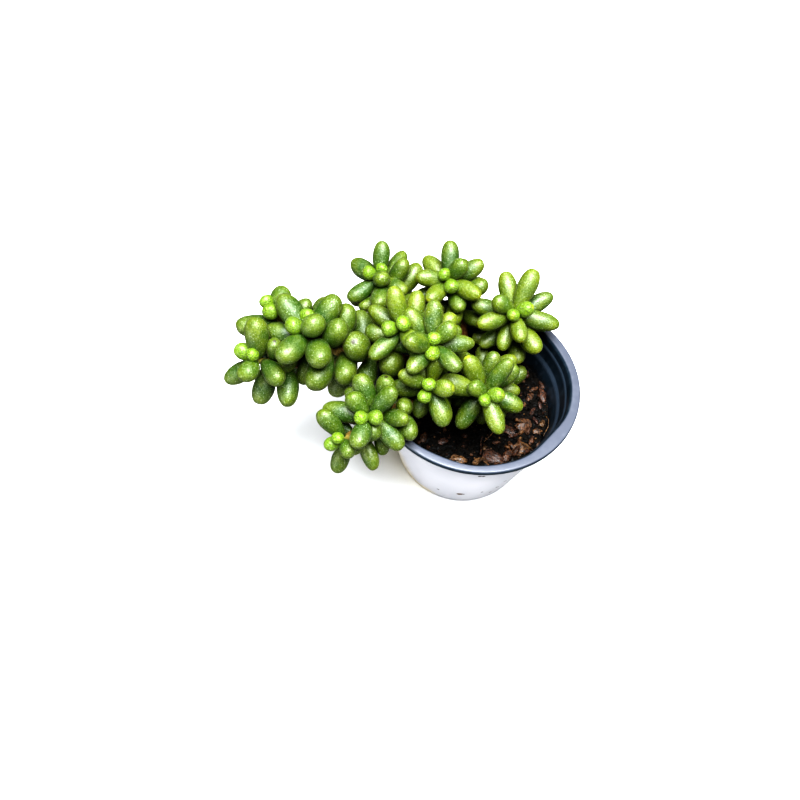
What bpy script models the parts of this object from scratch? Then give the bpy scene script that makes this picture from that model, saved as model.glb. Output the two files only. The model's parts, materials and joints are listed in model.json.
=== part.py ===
"""A potted sedum: fleshy bean-shaped leaves on leaning stems, in a thin dark
nursery pot that hangs by its flange in a smooth white cover pot.

Units are metres, +Z is up. The origin is the centre of the cover pot's foot.
The stems lean towards -X and hang over the rim on that side.
"""
import math

import bmesh
import bpy
import numpy as np
from mathutils import Matrix, Vector, noise

MM = 0.001
SEED = 11

# Pots
SEAT_GAP = 0.3 * MM
RIM_HEIGHT = 62.3 * MM
FLANGE_RADIUS = 45.0 * MM
FLANGE_THICKNESS = 1.0 * MM
LIP_DROP = 2.2 * MM
LIP_THICKNESS = 0.8 * MM
FLANGE_BEVEL = 0.5 * MM
COVER_TOP_RADIUS = 42.8 * MM
COVER_FOOT_RADIUS = 30.5 * MM
COVER_WALL = 0.8 * MM
COVER_FLOOR = 1.6 * MM
FOOT_ROUNDING = 4.0 * MM
NURSERY_WALL = 0.5 * MM
NURSERY_FLOOR = 6.0 * MM
NURSERY_FOOT_RADIUS = 27.5 * MM
# The outer wall's steps lie this much lower than the inner ones
STEP_DROP = 0.3 * MM
DRAIN_HOLES = 5
DRAIN_RADIUS = 2.5 * MM
DRAIN_RING = 17.0 * MM
TURN_STEPS = 34

# The nursery pot's inner wall from the flange down: radius and height of each step
INNER_STEPS = (
    (41.9 * MM, RIM_HEIGHT),
    (41.0 * MM, 61.2 * MM),
    (40.4 * MM, 57.8 * MM),
    (39.8 * MM, 57.0 * MM),
    (38.9 * MM, 51.2 * MM),
    (37.9 * MM, 49.6 * MM),
    (NURSERY_FOOT_RADIUS, NURSERY_FLOOR + NURSERY_WALL),
)

# Soil
SOIL_HEIGHT = 42.5 * MM
SOIL_SWELL = 1.1 * MM
SOIL_GRAIN = 9.0 * MM
# The swells fade out over this width, and end this far from the wall
SOIL_FADE = 6.0 * MM
SOIL_EDGE = 2.0 * MM
SOIL_CLEARANCE = 0.4 * MM
SOIL_RINGS = 7
SOIL_STEPS = 32
HOLE_DEPTH = 8.0 * MM

# Bark chips lie a little tilted and narrow at one end
CHIP_TILT = 8.0
CHIP_END = 0.72

# Bark on the soil: x, y, length, width, height above the soil, turn in degrees
BARK = (
    (-11.5 * MM, -21.3 * MM, 4.0 * MM, 2.6 * MM, 1.2 * MM, 20),
    (17.1 * MM, -13.0 * MM, 7.0 * MM, 3.4 * MM, 1.8 * MM, -35),
    (24.3 * MM, -10.2 * MM, 7.0 * MM, 5.0 * MM, 2.0 * MM, 35),
    (-4.2 * MM, -29.7 * MM, 6.5 * MM, 3.2 * MM, 1.6 * MM, -12),
    (3.6 * MM, -29.7 * MM, 4.6 * MM, 2.2 * MM, 1.5 * MM, 40),
    (10.6 * MM, -27.5 * MM, 8.6 * MM, 5.0 * MM, 2.2 * MM, -25),
    (16.5 * MM, -25.9 * MM, 6.0 * MM, 3.0 * MM, 1.8 * MM, 60),
    (22.5 * MM, -22.2 * MM, 6.6 * MM, 5.2 * MM, 2.2 * MM, 15),
    (33.3 * MM, 7.3 * MM, 8.4 * MM, 2.8 * MM, 1.8 * MM, 98),
    (32.6 * MM, -8.3 * MM, 3.0 * MM, 2.2 * MM, 1.5 * MM, 70),
    (30.4 * MM, -12.5 * MM, 4.0 * MM, 2.4 * MM, 1.2 * MM, 10),
    (27.6 * MM, 5.6 * MM, 4.4 * MM, 2.4 * MM, 1.2 * MM, 65),
    (-24.9 * MM, 15.7 * MM, 5.2 * MM, 2.8 * MM, 1.3 * MM, 130),
    (6.4 * MM, 21.8 * MM, 5.6 * MM, 3.0 * MM, 1.3 * MM, 15),
    (24.6 * MM, 19.8 * MM, 5.0 * MM, 3.0 * MM, 1.4 * MM, 150),
    (-19.9 * MM, -20.6 * MM, 4.6 * MM, 2.6 * MM, 1.2 * MM, 75),
)

# Stems and leaves
GOLDEN_ANGLE = math.radians(137.508)
STEM_RADIUS = 2.2 * MM
# A stem is this share as thick at its tip, and gets thicker at this rate down from it
STEM_TIP = 0.45
STEM_TAPER = 1.8
STEM_POINTS = 8
TIP_SETBACK = 0.7 * MM
HOLE_CLEARANCE = 0.4 * MM
# A leaf's mesh: its sides, its rings, how far the rings spread towards the ends, and
# a little more girth, so that the flat faces enclose the round leaf's volume
LEAF_SIDES = 6
LEAF_RINGS = 4
RING_SPREAD = 0.58
RING_EASE = 0.08
LEAF_SWELL = 1.06
# A leaf's form: where it is fattest, how blunt its ends are, how flat it is, how it bends
LEAF_SKEW = 1.42
LEAF_BLUNT = 0.44
LEAF_FLATNESS = 0.92
LEAF_CURL = 0.08
# How far the youngest and the old leaves open from the stem, in degrees
YOUNG_TILT = 16.0
OLD_TILT = 88.0
OPEN_FROM_LEAF = 4.0
OPENING_CURVE = 0.7
# The youngest leaf's length as a share of a ripe one's, and its width to its length
BUD_LENGTH = 0.36
BUD_FATNESS = 0.86
RIPE_FROM_LEAF = 3.2
RIPENING_CURVE = 1.6
# Leaves start this far above the soil and above the stem's foot
BARE_ABOVE_SOIL = 3 * MM
BARE_FOOT = 2 * MM
LEAFY_SOIL_RADIUS = 38 * MM
# Leaves crowd towards the tip: the share of their spacing that is even, and the crowding's power
EVEN_SPACING = 0.2
CROWDING = 1.8
# Random spread of the turn about the stem in radians, of the tilt in degrees, and of the size
VARY_TURN = 0.10
VARY_TILT = 6.0
VARY_LENGTH = 0.06
VARY_WIDTH = 0.05
# Half of the short stretch of stem on which its direction is measured
STEM_WAY_STEP = 0.6 * MM

# Settling: each leaf is felt as three balls, by place along it and share of its half width
LEAF_BALLS = ((0.30, 0.78), (0.56, 0.99), (0.80, 0.88))
# Rings of balls stand for the pots' walls, by height and radius
WALL_RINGS = ((62, 43.5), (58, 41.5), (53, 40.5), (48, 39.5), (43, 38.5))
WALL_BALLS = 80
WALL_BALL_RADIUS = 2.3 * MM
STEM_BALLS = 20
CLEAR_OF_OTHER_STEMS = 1.3 * MM
CLEAR_OF_THINGS = 0.5 * MM
CLEAR_OF_SOIL = 2.5 * MM
CLEAR_OF_TABLE = 2 * MM
SQUEEZE_IN_STEM = 0.5 * MM
SETTLE_STEPS = 60
PUSH_BY_LEAF = 0.35
PUSH_BY_THING = 0.5
PUSH_BY_FLOOR = 0.8
MOST_TURN = 0.15
PULL_TO_REST = 0.02


class Shoot:
    """One stem with its leaves. A heading is an angle about Z from +X and a lean is
    the tip's angle from upright, both in degrees. A branch starts on its parent."""

    def __init__(self, name, tip, heading, lean, leaves, first, length, leafy,
                 root=None, branch=None, rise=14.0 * MM, reach=22.0 * MM, fatness=0.49):
        self.name = name
        self.group = name[0]
        self.tip = np.array(tip)
        self.axis = aim(heading, lean)
        self.leaves = leaves
        self.first = math.radians(first)
        self.length = length
        self.leafy = leafy
        self.root = root
        self.branch = branch
        self.rise = rise
        self.reach = reach
        self.fatness = fatness

    def grow(self, stems):
        """Works out the stem's line, from its root to its tip."""
        if self.branch:
            parent, share = self.branch
            line = stems[parent].line
            start = at(line, share * line[-1, 3])
            foot = start
            control = start
        else:
            start = np.array((*self.root, SOIL_HEIGHT + 0.5 * MM))
            foot = np.array((*self.root, SOIL_HEIGHT - HOLE_DEPTH + SEAT_GAP))
            control = start + np.array((0.0, 0.0, self.rise))
        curve = cubic(start, control, self.tip - self.axis * self.reach, self.tip)
        points = curve if self.branch else np.vstack([foot, curve])
        steps = np.linalg.norm(np.diff(points, axis=0), axis=1)
        self.line = np.column_stack([points, np.concatenate([[0.0], np.cumsum(steps)])])


class Leaf:
    def __init__(self, group, base, way, stem_way, length, width):
        self.group = group
        self.base = base
        self.way = way
        self.stem_way = stem_way
        self.length = length
        self.width = width


def unit(v):
    return v / np.maximum(np.linalg.norm(v, axis=-1, keepdims=True), 1e-12)


def aim(heading, lean):
    h = math.radians(heading)
    l = math.radians(lean)
    return np.array((math.cos(h) * math.sin(l), math.sin(h) * math.sin(l), math.cos(l)))


def cubic(a, b, c, d, count=120):
    t = np.linspace(0.0, 1.0, count)[:, None]
    return (1 - t) ** 3 * a + 3 * t * (1 - t) ** 2 * b + 3 * t * t * (1 - t) * c + t ** 3 * d


def at(line, distance):
    """The point that lies a distance along a line of x, y, z and distance."""
    return np.array([np.interp(distance, line[:, 3], line[:, k]) for k in range(3)])


SHOOTS = (
    Shoot("a1", (-71.4 * MM, -0.7 * MM, 89.1 * MM), 100, 10, 24, 64, 19.2 * MM, 44 * MM,
          root=(-16 * MM, 8 * MM), rise=34 * MM, reach=26 * MM, fatness=0.53),
    Shoot("a2", (-92 * MM, -11 * MM, 79 * MM), 228, 28, 13, 7, 18.4 * MM, 22 * MM,
          branch=("a1", 0.60), fatness=0.51),
    Shoot("a3", (-87 * MM, 9 * MM, 86 * MM), 140, 24, 7, 150, 18.0 * MM, 17 * MM,
          branch=("a1", 0.66), fatness=0.51),
    Shoot("b", (-45.8 * MM, 34.1 * MM, 83.4 * MM), 271, 25, 19, 28, 17.8 * MM, 24 * MM,
          root=(-22 * MM, 20 * MM), rise=26 * MM, reach=14 * MM, fatness=0.46),
    Shoot("c", (-15.6 * MM, 33.4 * MM, 85.7 * MM), 268, 43, 20, 134, 16.6 * MM, 28 * MM,
          root=(-4 * MM, 29 * MM), rise=20 * MM, reach=16 * MM, fatness=0.46),
    Shoot("d", (13 * MM, 20 * MM, 84 * MM), 266, 36, 19, 236, 18.4 * MM, 28 * MM,
          root=(18 * MM, 26 * MM), fatness=0.42),
    Shoot("e1", (-34 * MM, -1 * MM, 94 * MM), 259, 30, 14, 50, 17.8 * MM, 27 * MM,
          root=(-10 * MM, 4 * MM), fatness=0.46),
    Shoot("e2", (-21 * MM, -8 * MM, 95 * MM), 273, 31, 14, 126, 16.6 * MM, 17 * MM,
          branch=("e1", 0.60), fatness=0.46),
    Shoot("e3", (-21 * MM, -20.7 * MM, 82.4 * MM), 259, 42, 13, 100, 16.2 * MM, 25 * MM,
          branch=("e1", 0.42), fatness=0.46),
    Shoot("f", (2.4 * MM, -17.8 * MM, 77 * MM), 281, 45, 24, 232, 17.2 * MM, 40 * MM,
          root=(8 * MM, 6 * MM), fatness=0.45),
    Shoot("g1", (-44 * MM, -33 * MM, 78 * MM), 250, 30, 19, 214, 17.6 * MM, 28 * MM,
          root=(-16 * MM, -8 * MM), rise=24 * MM, fatness=0.44),
    Shoot("g2", (-53.6 * MM, -40.5 * MM, 70.4 * MM), 235, 45, 9, 66, 15.6 * MM, 15 * MM,
          branch=("g1", 0.84), fatness=0.46),
)


# Where the leaves go

def place_leaves(shoot, rng):
    """Leaves follow each other by the golden angle down from the tip. The young ones
    at the tip are short and point along the stem, the old ones stand out from it."""
    line = shoot.line
    total = line[-1, 3]
    leaves = []
    for i in range(shoot.leaves):
        share = i / (shoot.leaves - 1)
        spacing = EVEN_SPACING * share + (1.0 - EVEN_SPACING) * share ** CROWDING
        distance = total - TIP_SETBACK - shoot.leafy * spacing
        jitter = rng.normal(0.0, 1.0, 4)
        base = at(line, distance)
        over_soil = math.hypot(base[0], base[1]) < LEAFY_SOIL_RADIUS
        too_low = over_soil and base[2] < SOIL_HEIGHT + BARE_ABOVE_SOIL
        if distance < BARE_FOOT or too_low:
            break
        ahead = at(line, min(distance + STEM_WAY_STEP, total))
        stem_way = unit(ahead - at(line, distance - STEM_WAY_STEP))
        first_side = unit(np.array((1.0, 0.0, 0.0)) - stem_way * stem_way[0])
        second_side = np.cross(stem_way, first_side)
        around = shoot.first + GOLDEN_ANGLE * i + VARY_TURN * jitter[0]
        opening = min(1.0, i / OPEN_FROM_LEAF) ** OPENING_CURVE
        tilt = YOUNG_TILT + (OLD_TILT - YOUNG_TILT) * opening + VARY_TILT * jitter[1]
        tilt = math.radians(tilt)
        outward = math.cos(around) * first_side + math.sin(around) * second_side
        way = math.cos(tilt) * stem_way + math.sin(tilt) * outward
        ripe = min(1.0, i / RIPE_FROM_LEAF) ** RIPENING_CURVE
        length = shoot.length * (BUD_LENGTH + (1.0 - BUD_LENGTH) * ripe)
        length *= 1 + VARY_LENGTH * jitter[2]
        fatness = BUD_FATNESS + (shoot.fatness - BUD_FATNESS) * ripe
        width = length * fatness * (1 + VARY_WIDTH * jitter[3])
        leaves.append(Leaf(shoot.group, base, way, stem_way, length, width))
    return leaves


def obstacles():
    """Balls along the stems and round the pots' rims that the leaves keep clear of."""
    centres = []
    radii = []
    owners = []
    for shoot in SHOOTS:
        for distance in np.linspace(0.0, shoot.line[-1, 3], STEM_BALLS):
            centres.append(at(shoot.line, distance))
            radii.append(STEM_RADIUS)
            owners.append(shoot.group)
    for height, radius in WALL_RINGS:
        for turn in np.linspace(0.0, math.tau, WALL_BALLS, endpoint=False):
            ring = (radius * math.cos(turn), radius * math.sin(turn), height)
            centres.append(np.array(ring) * MM)
            radii.append(WALL_BALL_RADIUS)
            owners.append("pot")
    return np.array(centres), np.array(radii), np.array(owners)


def settle(leaves):
    """Bends the leaves' directions until they clear the other stems' leaves, the pots
    and the soil, and press only a little into those on their own stem."""
    base = np.array([leaf.base for leaf in leaves])
    way = np.array([leaf.way for leaf in leaves])
    stem_way = np.array([leaf.stem_way for leaf in leaves])
    length = np.array([leaf.length for leaf in leaves])
    width = np.array([leaf.width for leaf in leaves])
    group = np.array([leaf.group for leaf in leaves])
    rest = way.copy()
    place = np.array([ball[0] for ball in LEAF_BALLS])
    radius = width[:, None] / 2 * np.array([ball[1] for ball in LEAF_BALLS])
    lever = place * length[:, None]
    thing, thing_radius, thing_owner = obstacles()

    apart = np.linalg.norm(base[:, None] - base[None], axis=2)
    near = np.triu(apart < length[:, None] + length[None] + MM, 1)
    one, other = np.nonzero(near)
    same = group[one] == group[other]
    room = np.where(same, -SQUEEZE_IN_STEM, CLEAR_OF_OTHER_STEMS)
    to_thing = np.linalg.norm(base[:, None] - thing[None], axis=2)
    leaf, item = np.nonzero(to_thing < (length + width)[:, None])
    own_stem = group[leaf] == thing_owner[item]

    for _ in range(SETTLE_STEPS):
        side = unit(stem_way - way * (stem_way * way).sum(1)[:, None])
        curl = (LEAF_CURL * length[:, None] * place ** 2)[..., None]
        ball = base[:, None] + way[:, None] * lever[..., None] + side[:, None] * curl
        push = np.zeros_like(ball)
        for a in range(3):
            for b in range(3):
                between = ball[one, a] - ball[other, b]
                distance = np.linalg.norm(between, axis=1) + 1e-12
                overlap = radius[one, a] + radius[other, b] + room - distance
                if a == 0 or b == 0:
                    overlap = np.where(same, 0.0, overlap)
                move = between * (PUSH_BY_LEAF * np.maximum(overlap, 0.0) / distance)[:, None]
                np.add.at(push[:, a], one, move)
                np.add.at(push[:, b], other, -move)
            between = ball[leaf, a] - thing[item]
            distance = np.linalg.norm(between, axis=1) + 1e-12
            overlap = radius[leaf, a] + thing_radius[item] + CLEAR_OF_THINGS - distance
            if a < 2:
                overlap = np.where(own_stem, 0.0, overlap)
            move = between * (PUSH_BY_THING * np.maximum(overlap, 0.0) / distance)[:, None]
            np.add.at(push[:, a], leaf, move)
        over_soil = np.hypot(ball[..., 0], ball[..., 1]) < LEAFY_SOIL_RADIUS + 2 * MM
        floor = np.where(over_soil, SOIL_HEIGHT + CLEAR_OF_SOIL, CLEAR_OF_TABLE)
        push[..., 2] += PUSH_BY_FLOOR * np.maximum(floor + radius - ball[..., 2], 0.0)
        turn = (push / lever[..., None]).sum(1)
        turn -= way * (turn * way).sum(1)[:, None]
        size = np.linalg.norm(turn, axis=1)
        turn *= np.minimum(1.0, MOST_TURN / np.maximum(size, 1e-12))[:, None]
        way = unit(way + turn + PULL_TO_REST * (rest - way))
    for k, item in enumerate(leaves):
        item.way = way[k]


def lay_out():
    stems = {}
    for shoot in SHOOTS:
        shoot.grow(stems)
        stems[shoot.name] = shoot
    rng = np.random.default_rng(SEED)
    leaves = []
    for shoot in SHOOTS:
        leaves += place_leaves(shoot, rng)
    settle(leaves)
    return leaves


# Tools for the solids

def collection(name):
    made = bpy.data.collections.new(name)
    bpy.context.scene.collection.children.link(made)
    return made


def material(name, colour, roughness):
    made = bpy.data.materials.new(name)
    made.use_nodes = True
    shader = made.node_tree.nodes["Principled BSDF"]
    shader.inputs["Base Color"].default_value = (*colour, 1.0)
    shader.inputs["Roughness"].default_value = roughness
    shader.inputs["Metallic"].default_value = 0.0
    return made


def add_object(name, mesh, home, finish=None):
    made = bpy.data.objects.new(name, mesh)
    if finish:
        mesh.materials.append(finish)
    home.objects.link(made)
    return made


def bake(thing):
    """Gives an object its evaluated mesh and drops its modifiers."""
    graph = bpy.context.evaluated_depsgraph_get()
    mesh = bpy.data.meshes.new_from_object(thing.evaluated_get(graph))
    thing.modifiers.clear()
    thing.data = mesh


def turned(name, profile, home, finish, steps):
    """Turns a profile of radius and height about Z. It starts and ends on the axis."""
    mesh = bpy.data.meshes.new(name)
    bm = bmesh.new()
    verts = [bm.verts.new((radius, 0.0, height)) for radius, height in profile]
    for first, second in zip(verts, verts[1:]):
        bm.edges.new((first, second))
    bm.to_mesh(mesh)
    bm.free()
    made = add_object(name, mesh, home, finish)
    screw = made.modifiers.new("turn", "SCREW")
    screw.angle = math.tau
    screw.steps = steps
    screw.render_steps = steps
    screw.use_merge_vertices = True
    screw.merge_threshold = 0.01 * MM
    screw.use_smooth_shade = True
    bake(made)
    return made


def arc(centre, radius, start, stop, count):
    """Points of radius and height on a round corner, angles in degrees."""
    angles = np.radians(np.linspace(start, stop, count))
    return [(centre[0] + radius * math.cos(a), centre[1] + radius * math.sin(a)) for a in angles]


def shade(thing):
    thing.data.shade_smooth()
    thing.data.set_sharp_from_angle(angle=math.radians(40))


def keep_largest_body(mesh):
    """Drops loose scraps and fills sealed hollows that a union left behind."""
    bm = bmesh.new()
    bm.from_mesh(mesh)
    left = set(bm.faces)
    bodies = []
    while left:
        body = [left.pop()]
        for face in body:
            for edge in face.edges:
                for beside in edge.link_faces:
                    if beside in left:
                        left.remove(beside)
                        body.append(beside)
        bodies.append(body)
    biggest = max(bodies, key=len)
    loose = [face for body in bodies if body is not biggest for face in body]
    bmesh.ops.delete(bm, geom=loose, context="FACES")
    bmesh.ops.triangulate(bm, faces=bm.faces[:])
    bm.to_mesh(mesh)
    bm.free()


def join_repeats(thing, repeats):
    """Unites an object with all objects of a collection, then removes those."""
    union = thing.modifiers.new("union", "BOOLEAN")
    union.operation = "UNION"
    union.solver = "EXACT"
    union.operand_type = "COLLECTION"
    union.collection = repeats
    bake(thing)
    keep_largest_body(thing.data)
    for repeat in list(repeats.objects):
        bpy.data.objects.remove(repeat)
    bpy.data.collections.remove(repeats)


def cut(thing, cutters):
    difference = thing.modifiers.new("cut", "BOOLEAN")
    difference.operation = "DIFFERENCE"
    difference.operand_type = "COLLECTION"
    difference.collection = cutters
    bake(thing)


def cylinder(name, radius, low, high, x, y, home, sides=16):
    mesh = bpy.data.meshes.new(name)
    bm = bmesh.new()
    bmesh.ops.create_cone(bm, cap_ends=True, segments=sides, radius1=radius, radius2=radius,
                          depth=high - low)
    bm.to_mesh(mesh)
    bm.free()
    made = add_object(name, mesh, home)
    made.location = (x, y, (low + high) / 2)
    made.hide_render = True
    made.display_type = "WIRE"
    return made


# Pots

def make_cover_pot(home):
    """The smooth white outer pot: straight sides, rounded foot, flat bottom."""
    slope = (COVER_TOP_RADIUS - COVER_FOOT_RADIUS) / RIM_HEIGHT
    top = RIM_HEIGHT - FLANGE_THICKNESS - SEAT_GAP
    outer_top = COVER_FOOT_RADIUS + slope * top
    corner = (COVER_FOOT_RADIUS + slope * FOOT_ROUNDING - FOOT_ROUNDING, FOOT_ROUNDING)
    inner_corner = (corner[0], COVER_FLOOR + FOOT_ROUNDING - COVER_WALL)
    profile = [(0.0, COVER_FLOOR)]
    profile += arc(inner_corner, FOOT_ROUNDING - COVER_WALL, -90, -10, 4)
    profile += [(outer_top - COVER_WALL, top), (outer_top, top)]
    profile += arc(corner, FOOT_ROUNDING, -10, -90, 6)
    profile += [(0.0, 0.0)]
    finish = material("white glaze", (0.78, 0.78, 0.80), 0.25)
    made = turned("cover_pot", profile, home, finish, TURN_STEPS)
    shade(made)
    return made


def inner_radius(height):
    """The nursery pot's inside radius at a height."""
    heights = [step[1] for step in reversed(INNER_STEPS)]
    radii = [step[0] for step in reversed(INNER_STEPS)]
    return float(np.interp(height, heights, radii))


def make_nursery_pot(home, cutters):
    """The thin stepped pot, hung by its flange on the cover pot's edge."""
    floor = NURSERY_FLOOR + NURSERY_WALL
    under = RIM_HEIGHT - FLANGE_THICKNESS
    lip_inside = FLANGE_RADIUS - LIP_THICKNESS
    inner = [(0.0, floor)] + list(reversed(INNER_STEPS))
    rim = [
        (FLANGE_RADIUS - FLANGE_BEVEL, RIM_HEIGHT),
        (FLANGE_RADIUS, RIM_HEIGHT - FLANGE_BEVEL),
        (FLANGE_RADIUS, RIM_HEIGHT - LIP_DROP),
        (lip_inside, RIM_HEIGHT - LIP_DROP),
        (lip_inside, under),
        (INNER_STEPS[1][0] + NURSERY_WALL, under),
    ]
    outer = [(radius + NURSERY_WALL, height - STEP_DROP) for radius, height in INNER_STEPS[2:-1]]
    foot = [(NURSERY_FOOT_RADIUS + NURSERY_WALL, NURSERY_FLOOR), (0.0, NURSERY_FLOOR)]
    finish = material("dark plastic", (0.075, 0.11, 0.16), 0.42)
    made = turned("nursery_pot", inner + rim + outer + foot, home, finish, TURN_STEPS)
    for k in range(DRAIN_HOLES):
        turn = math.tau * k / DRAIN_HOLES
        cylinder("drain", DRAIN_RADIUS, NURSERY_FLOOR - 2 * MM, floor + 2 * MM,
                 DRAIN_RING * math.cos(turn), DRAIN_RING * math.sin(turn), cutters)
    cut(made, cutters)
    shade(made)
    return made


# Soil

def soil_rise(x, y):
    """Height of the bare soil: swells and hollows that fade out at the pot's wall."""
    reach = inner_radius(SOIL_HEIGHT) - SOIL_EDGE
    fade = min(1.0, max(0.0, (reach - math.hypot(x, y)) / SOIL_FADE))
    spot = Vector((x, y, 0.0)) / SOIL_GRAIN
    broad = noise.noise(spot)
    fine = noise.noise(spot * 2.7 + Vector((3.0, 7.0, 0.0)))
    return SOIL_HEIGHT + SOIL_SWELL * (broad + 0.5 * fine) * fade


def bark_chip(name, x, y, length, width, height, turn, home):
    """A flat chip with broken ends, half sunk in the soil."""
    mesh = bpy.data.meshes.new(name)
    bm = bmesh.new()
    bmesh.ops.create_cube(bm, size=1.0)
    for vert in bm.verts:
        ragged = (1.0 - CHIP_END) * noise.noise(Vector((x, y, 0.0)) / MM + vert.co * 3.1)
        vert.co.y *= CHIP_END + ragged if vert.co.x > 0 else 1.5 - CHIP_END - ragged
        vert.co.z *= 1.0 if vert.co.y > 0 else 0.75
    base = soil_rise(x, y)
    shape = Matrix.Diagonal((length, width, 2 * height, 1.0))
    place = Matrix.Translation((x, y, base)) @ Matrix.Rotation(math.radians(turn), 4, "Z")
    tip = Matrix.Rotation(math.radians(CHIP_TILT), 4, "X")
    bmesh.ops.transform(bm, matrix=place @ tip @ shape, verts=bm.verts)
    bm.to_mesh(mesh)
    bm.free()
    return add_object(name, mesh, home)


def make_soil(home, cutters):
    """Filled to a few millimetres below the pot's step, with a hole for each stem."""
    floor = NURSERY_FLOOR + NURSERY_WALL + SEAT_GAP
    edge = inner_radius(SOIL_HEIGHT) - SOIL_CLEARANCE
    foot = inner_radius(floor) - SOIL_CLEARANCE
    rings = [(edge * k / SOIL_RINGS, SOIL_HEIGHT) for k in range(SOIL_RINGS + 1)]
    finish = material("dark soil", (0.022, 0.014, 0.010), 0.95)
    made = turned("soil", rings + [(foot, floor), (0.0, floor)], home, finish, SOIL_STEPS)
    for vert in made.data.vertices:
        if vert.co.z > SOIL_HEIGHT - 0.1 * MM:
            vert.co.z = soil_rise(vert.co.x, vert.co.y)
    chips = collection("bark")
    for k, chip in enumerate(BARK):
        bark_chip("chip_%02d" % k, *chip, chips)
    join_repeats(made, chips)
    for shoot in SHOOTS:
        if shoot.root:
            cylinder("stem_hole", STEM_RADIUS + HOLE_CLEARANCE, SOIL_HEIGHT - HOLE_DEPTH,
                     SOIL_HEIGHT + 12 * MM, *shoot.root, cutters, sides=12)
    cut(made, cutters)
    shade(made)
    return made


# Leafy stems

def stem_mesh(shoot, home):
    """A round stem that thins towards its tip."""
    curve = bpy.data.curves.new("stem_" + shoot.name, "CURVE")
    curve.dimensions = "3D"
    curve.bevel_depth = STEM_RADIUS
    curve.bevel_resolution = 1
    curve.use_fill_caps = True
    spline = curve.splines.new("POLY")
    spline.points.add(STEM_POINTS - 1)
    total = shoot.line[-1, 3]
    for k, point in enumerate(spline.points):
        share = k / (STEM_POINTS - 1)
        point.co = (*at(shoot.line, share * total), 1.0)
        point.radius = min(1.0, STEM_TIP + STEM_TAPER * (1.0 - share))
    guide = bpy.data.objects.new("guide", curve)
    home.objects.link(guide)
    graph = bpy.context.evaluated_depsgraph_get()
    mesh = bpy.data.meshes.new_from_object(guide.evaluated_get(graph))
    made = add_object("stem_" + shoot.name, mesh, home)
    made.matrix_world = guide.matrix_world
    bm = bmesh.new()
    bm.from_mesh(mesh)
    bmesh.ops.remove_doubles(bm, verts=bm.verts[:], dist=0.01 * MM)
    bmesh.ops.recalc_face_normals(bm, faces=bm.faces[:])
    bm.to_mesh(mesh)
    bm.free()
    bpy.data.objects.remove(guide)
    bpy.data.curves.remove(curve)
    return made


def leaf_girth(t):
    """Share of the leaf's half width at t, from its base at 0 to its tip at 1."""
    t = min(1.0, max(0.0, t))
    return max(0.0, math.sin(math.pi * t ** LEAF_SKEW)) ** LEAF_BLUNT


def leaf_mesh(leaf, name, home):
    """A ball drawn out into a plump bean that bends a little towards the stem's tip."""
    mesh = bpy.data.meshes.new(name)
    bm = bmesh.new()
    bmesh.ops.create_uvsphere(bm, u_segments=LEAF_SIDES, v_segments=LEAF_RINGS, radius=1.0)
    way = leaf.way
    side = unit(leaf.stem_way - way * float(leaf.stem_way @ way))
    across = np.cross(way, side)
    for vert in bm.verts:
        t = 0.5 + vert.co.z * (RING_SPREAD - RING_EASE * vert.co.z ** 2)
        angle = math.atan2(vert.co.y, vert.co.x)
        girth = LEAF_SWELL * leaf.width / 2 * leaf_girth(t)
        spine = leaf.base + way * leaf.length * t + side * LEAF_CURL * leaf.length * t * t
        round_it = math.cos(angle) * across + LEAF_FLATNESS * math.sin(angle) * side
        vert.co = Vector(spine + girth * round_it)
    bmesh.ops.recalc_face_normals(bm, faces=bm.faces[:])
    bm.to_mesh(mesh)
    bm.free()
    return add_object(name, mesh, home)


def make_leafy_stem(group, leaves, home, finish):
    """One stem with its branches and leaves, fused into a single body."""
    repeats = collection("leaves " + group)
    shoots = [shoot for shoot in SHOOTS if shoot.group == group]
    made = stem_mesh(shoots[0], home)
    made.name = "leafy_stem_" + group
    made.data.materials.append(finish)
    for shoot in shoots[1:]:
        stem_mesh(shoot, repeats)
    for k, leaf in enumerate(leaves):
        leaf_mesh(leaf, "leaf_%s_%02d" % (group, k), repeats)
    join_repeats(made, repeats)
    shade(made)
    return made


def build():
    for thing in list(bpy.data.objects):
        bpy.data.objects.remove(thing)
    home = collection("potted sedum")
    cutters = collection("cutters")
    drains = collection("drain cutters")
    leaves = lay_out()
    make_cover_pot(home)
    make_nursery_pot(home, drains)
    make_soil(home, cutters)
    finish = material("leaf green", (0.13, 0.26, 0.035), 0.35)
    for group in sorted({shoot.group for shoot in SHOOTS}):
        own = [leaf for leaf in leaves if leaf.group == group]
        make_leafy_stem(group, own, home, finish)


build()
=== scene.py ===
"""A potted sedum: fleshy bean-shaped leaves on leaning stems, in a thin dark
nursery pot that hangs by its flange in a smooth white cover pot.

Units are metres, +Z is up. The origin is the centre of the cover pot's foot.
"""
import json
import math

import bmesh
import bpy
import numpy as np
from mathutils import Matrix, Vector, noise

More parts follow.
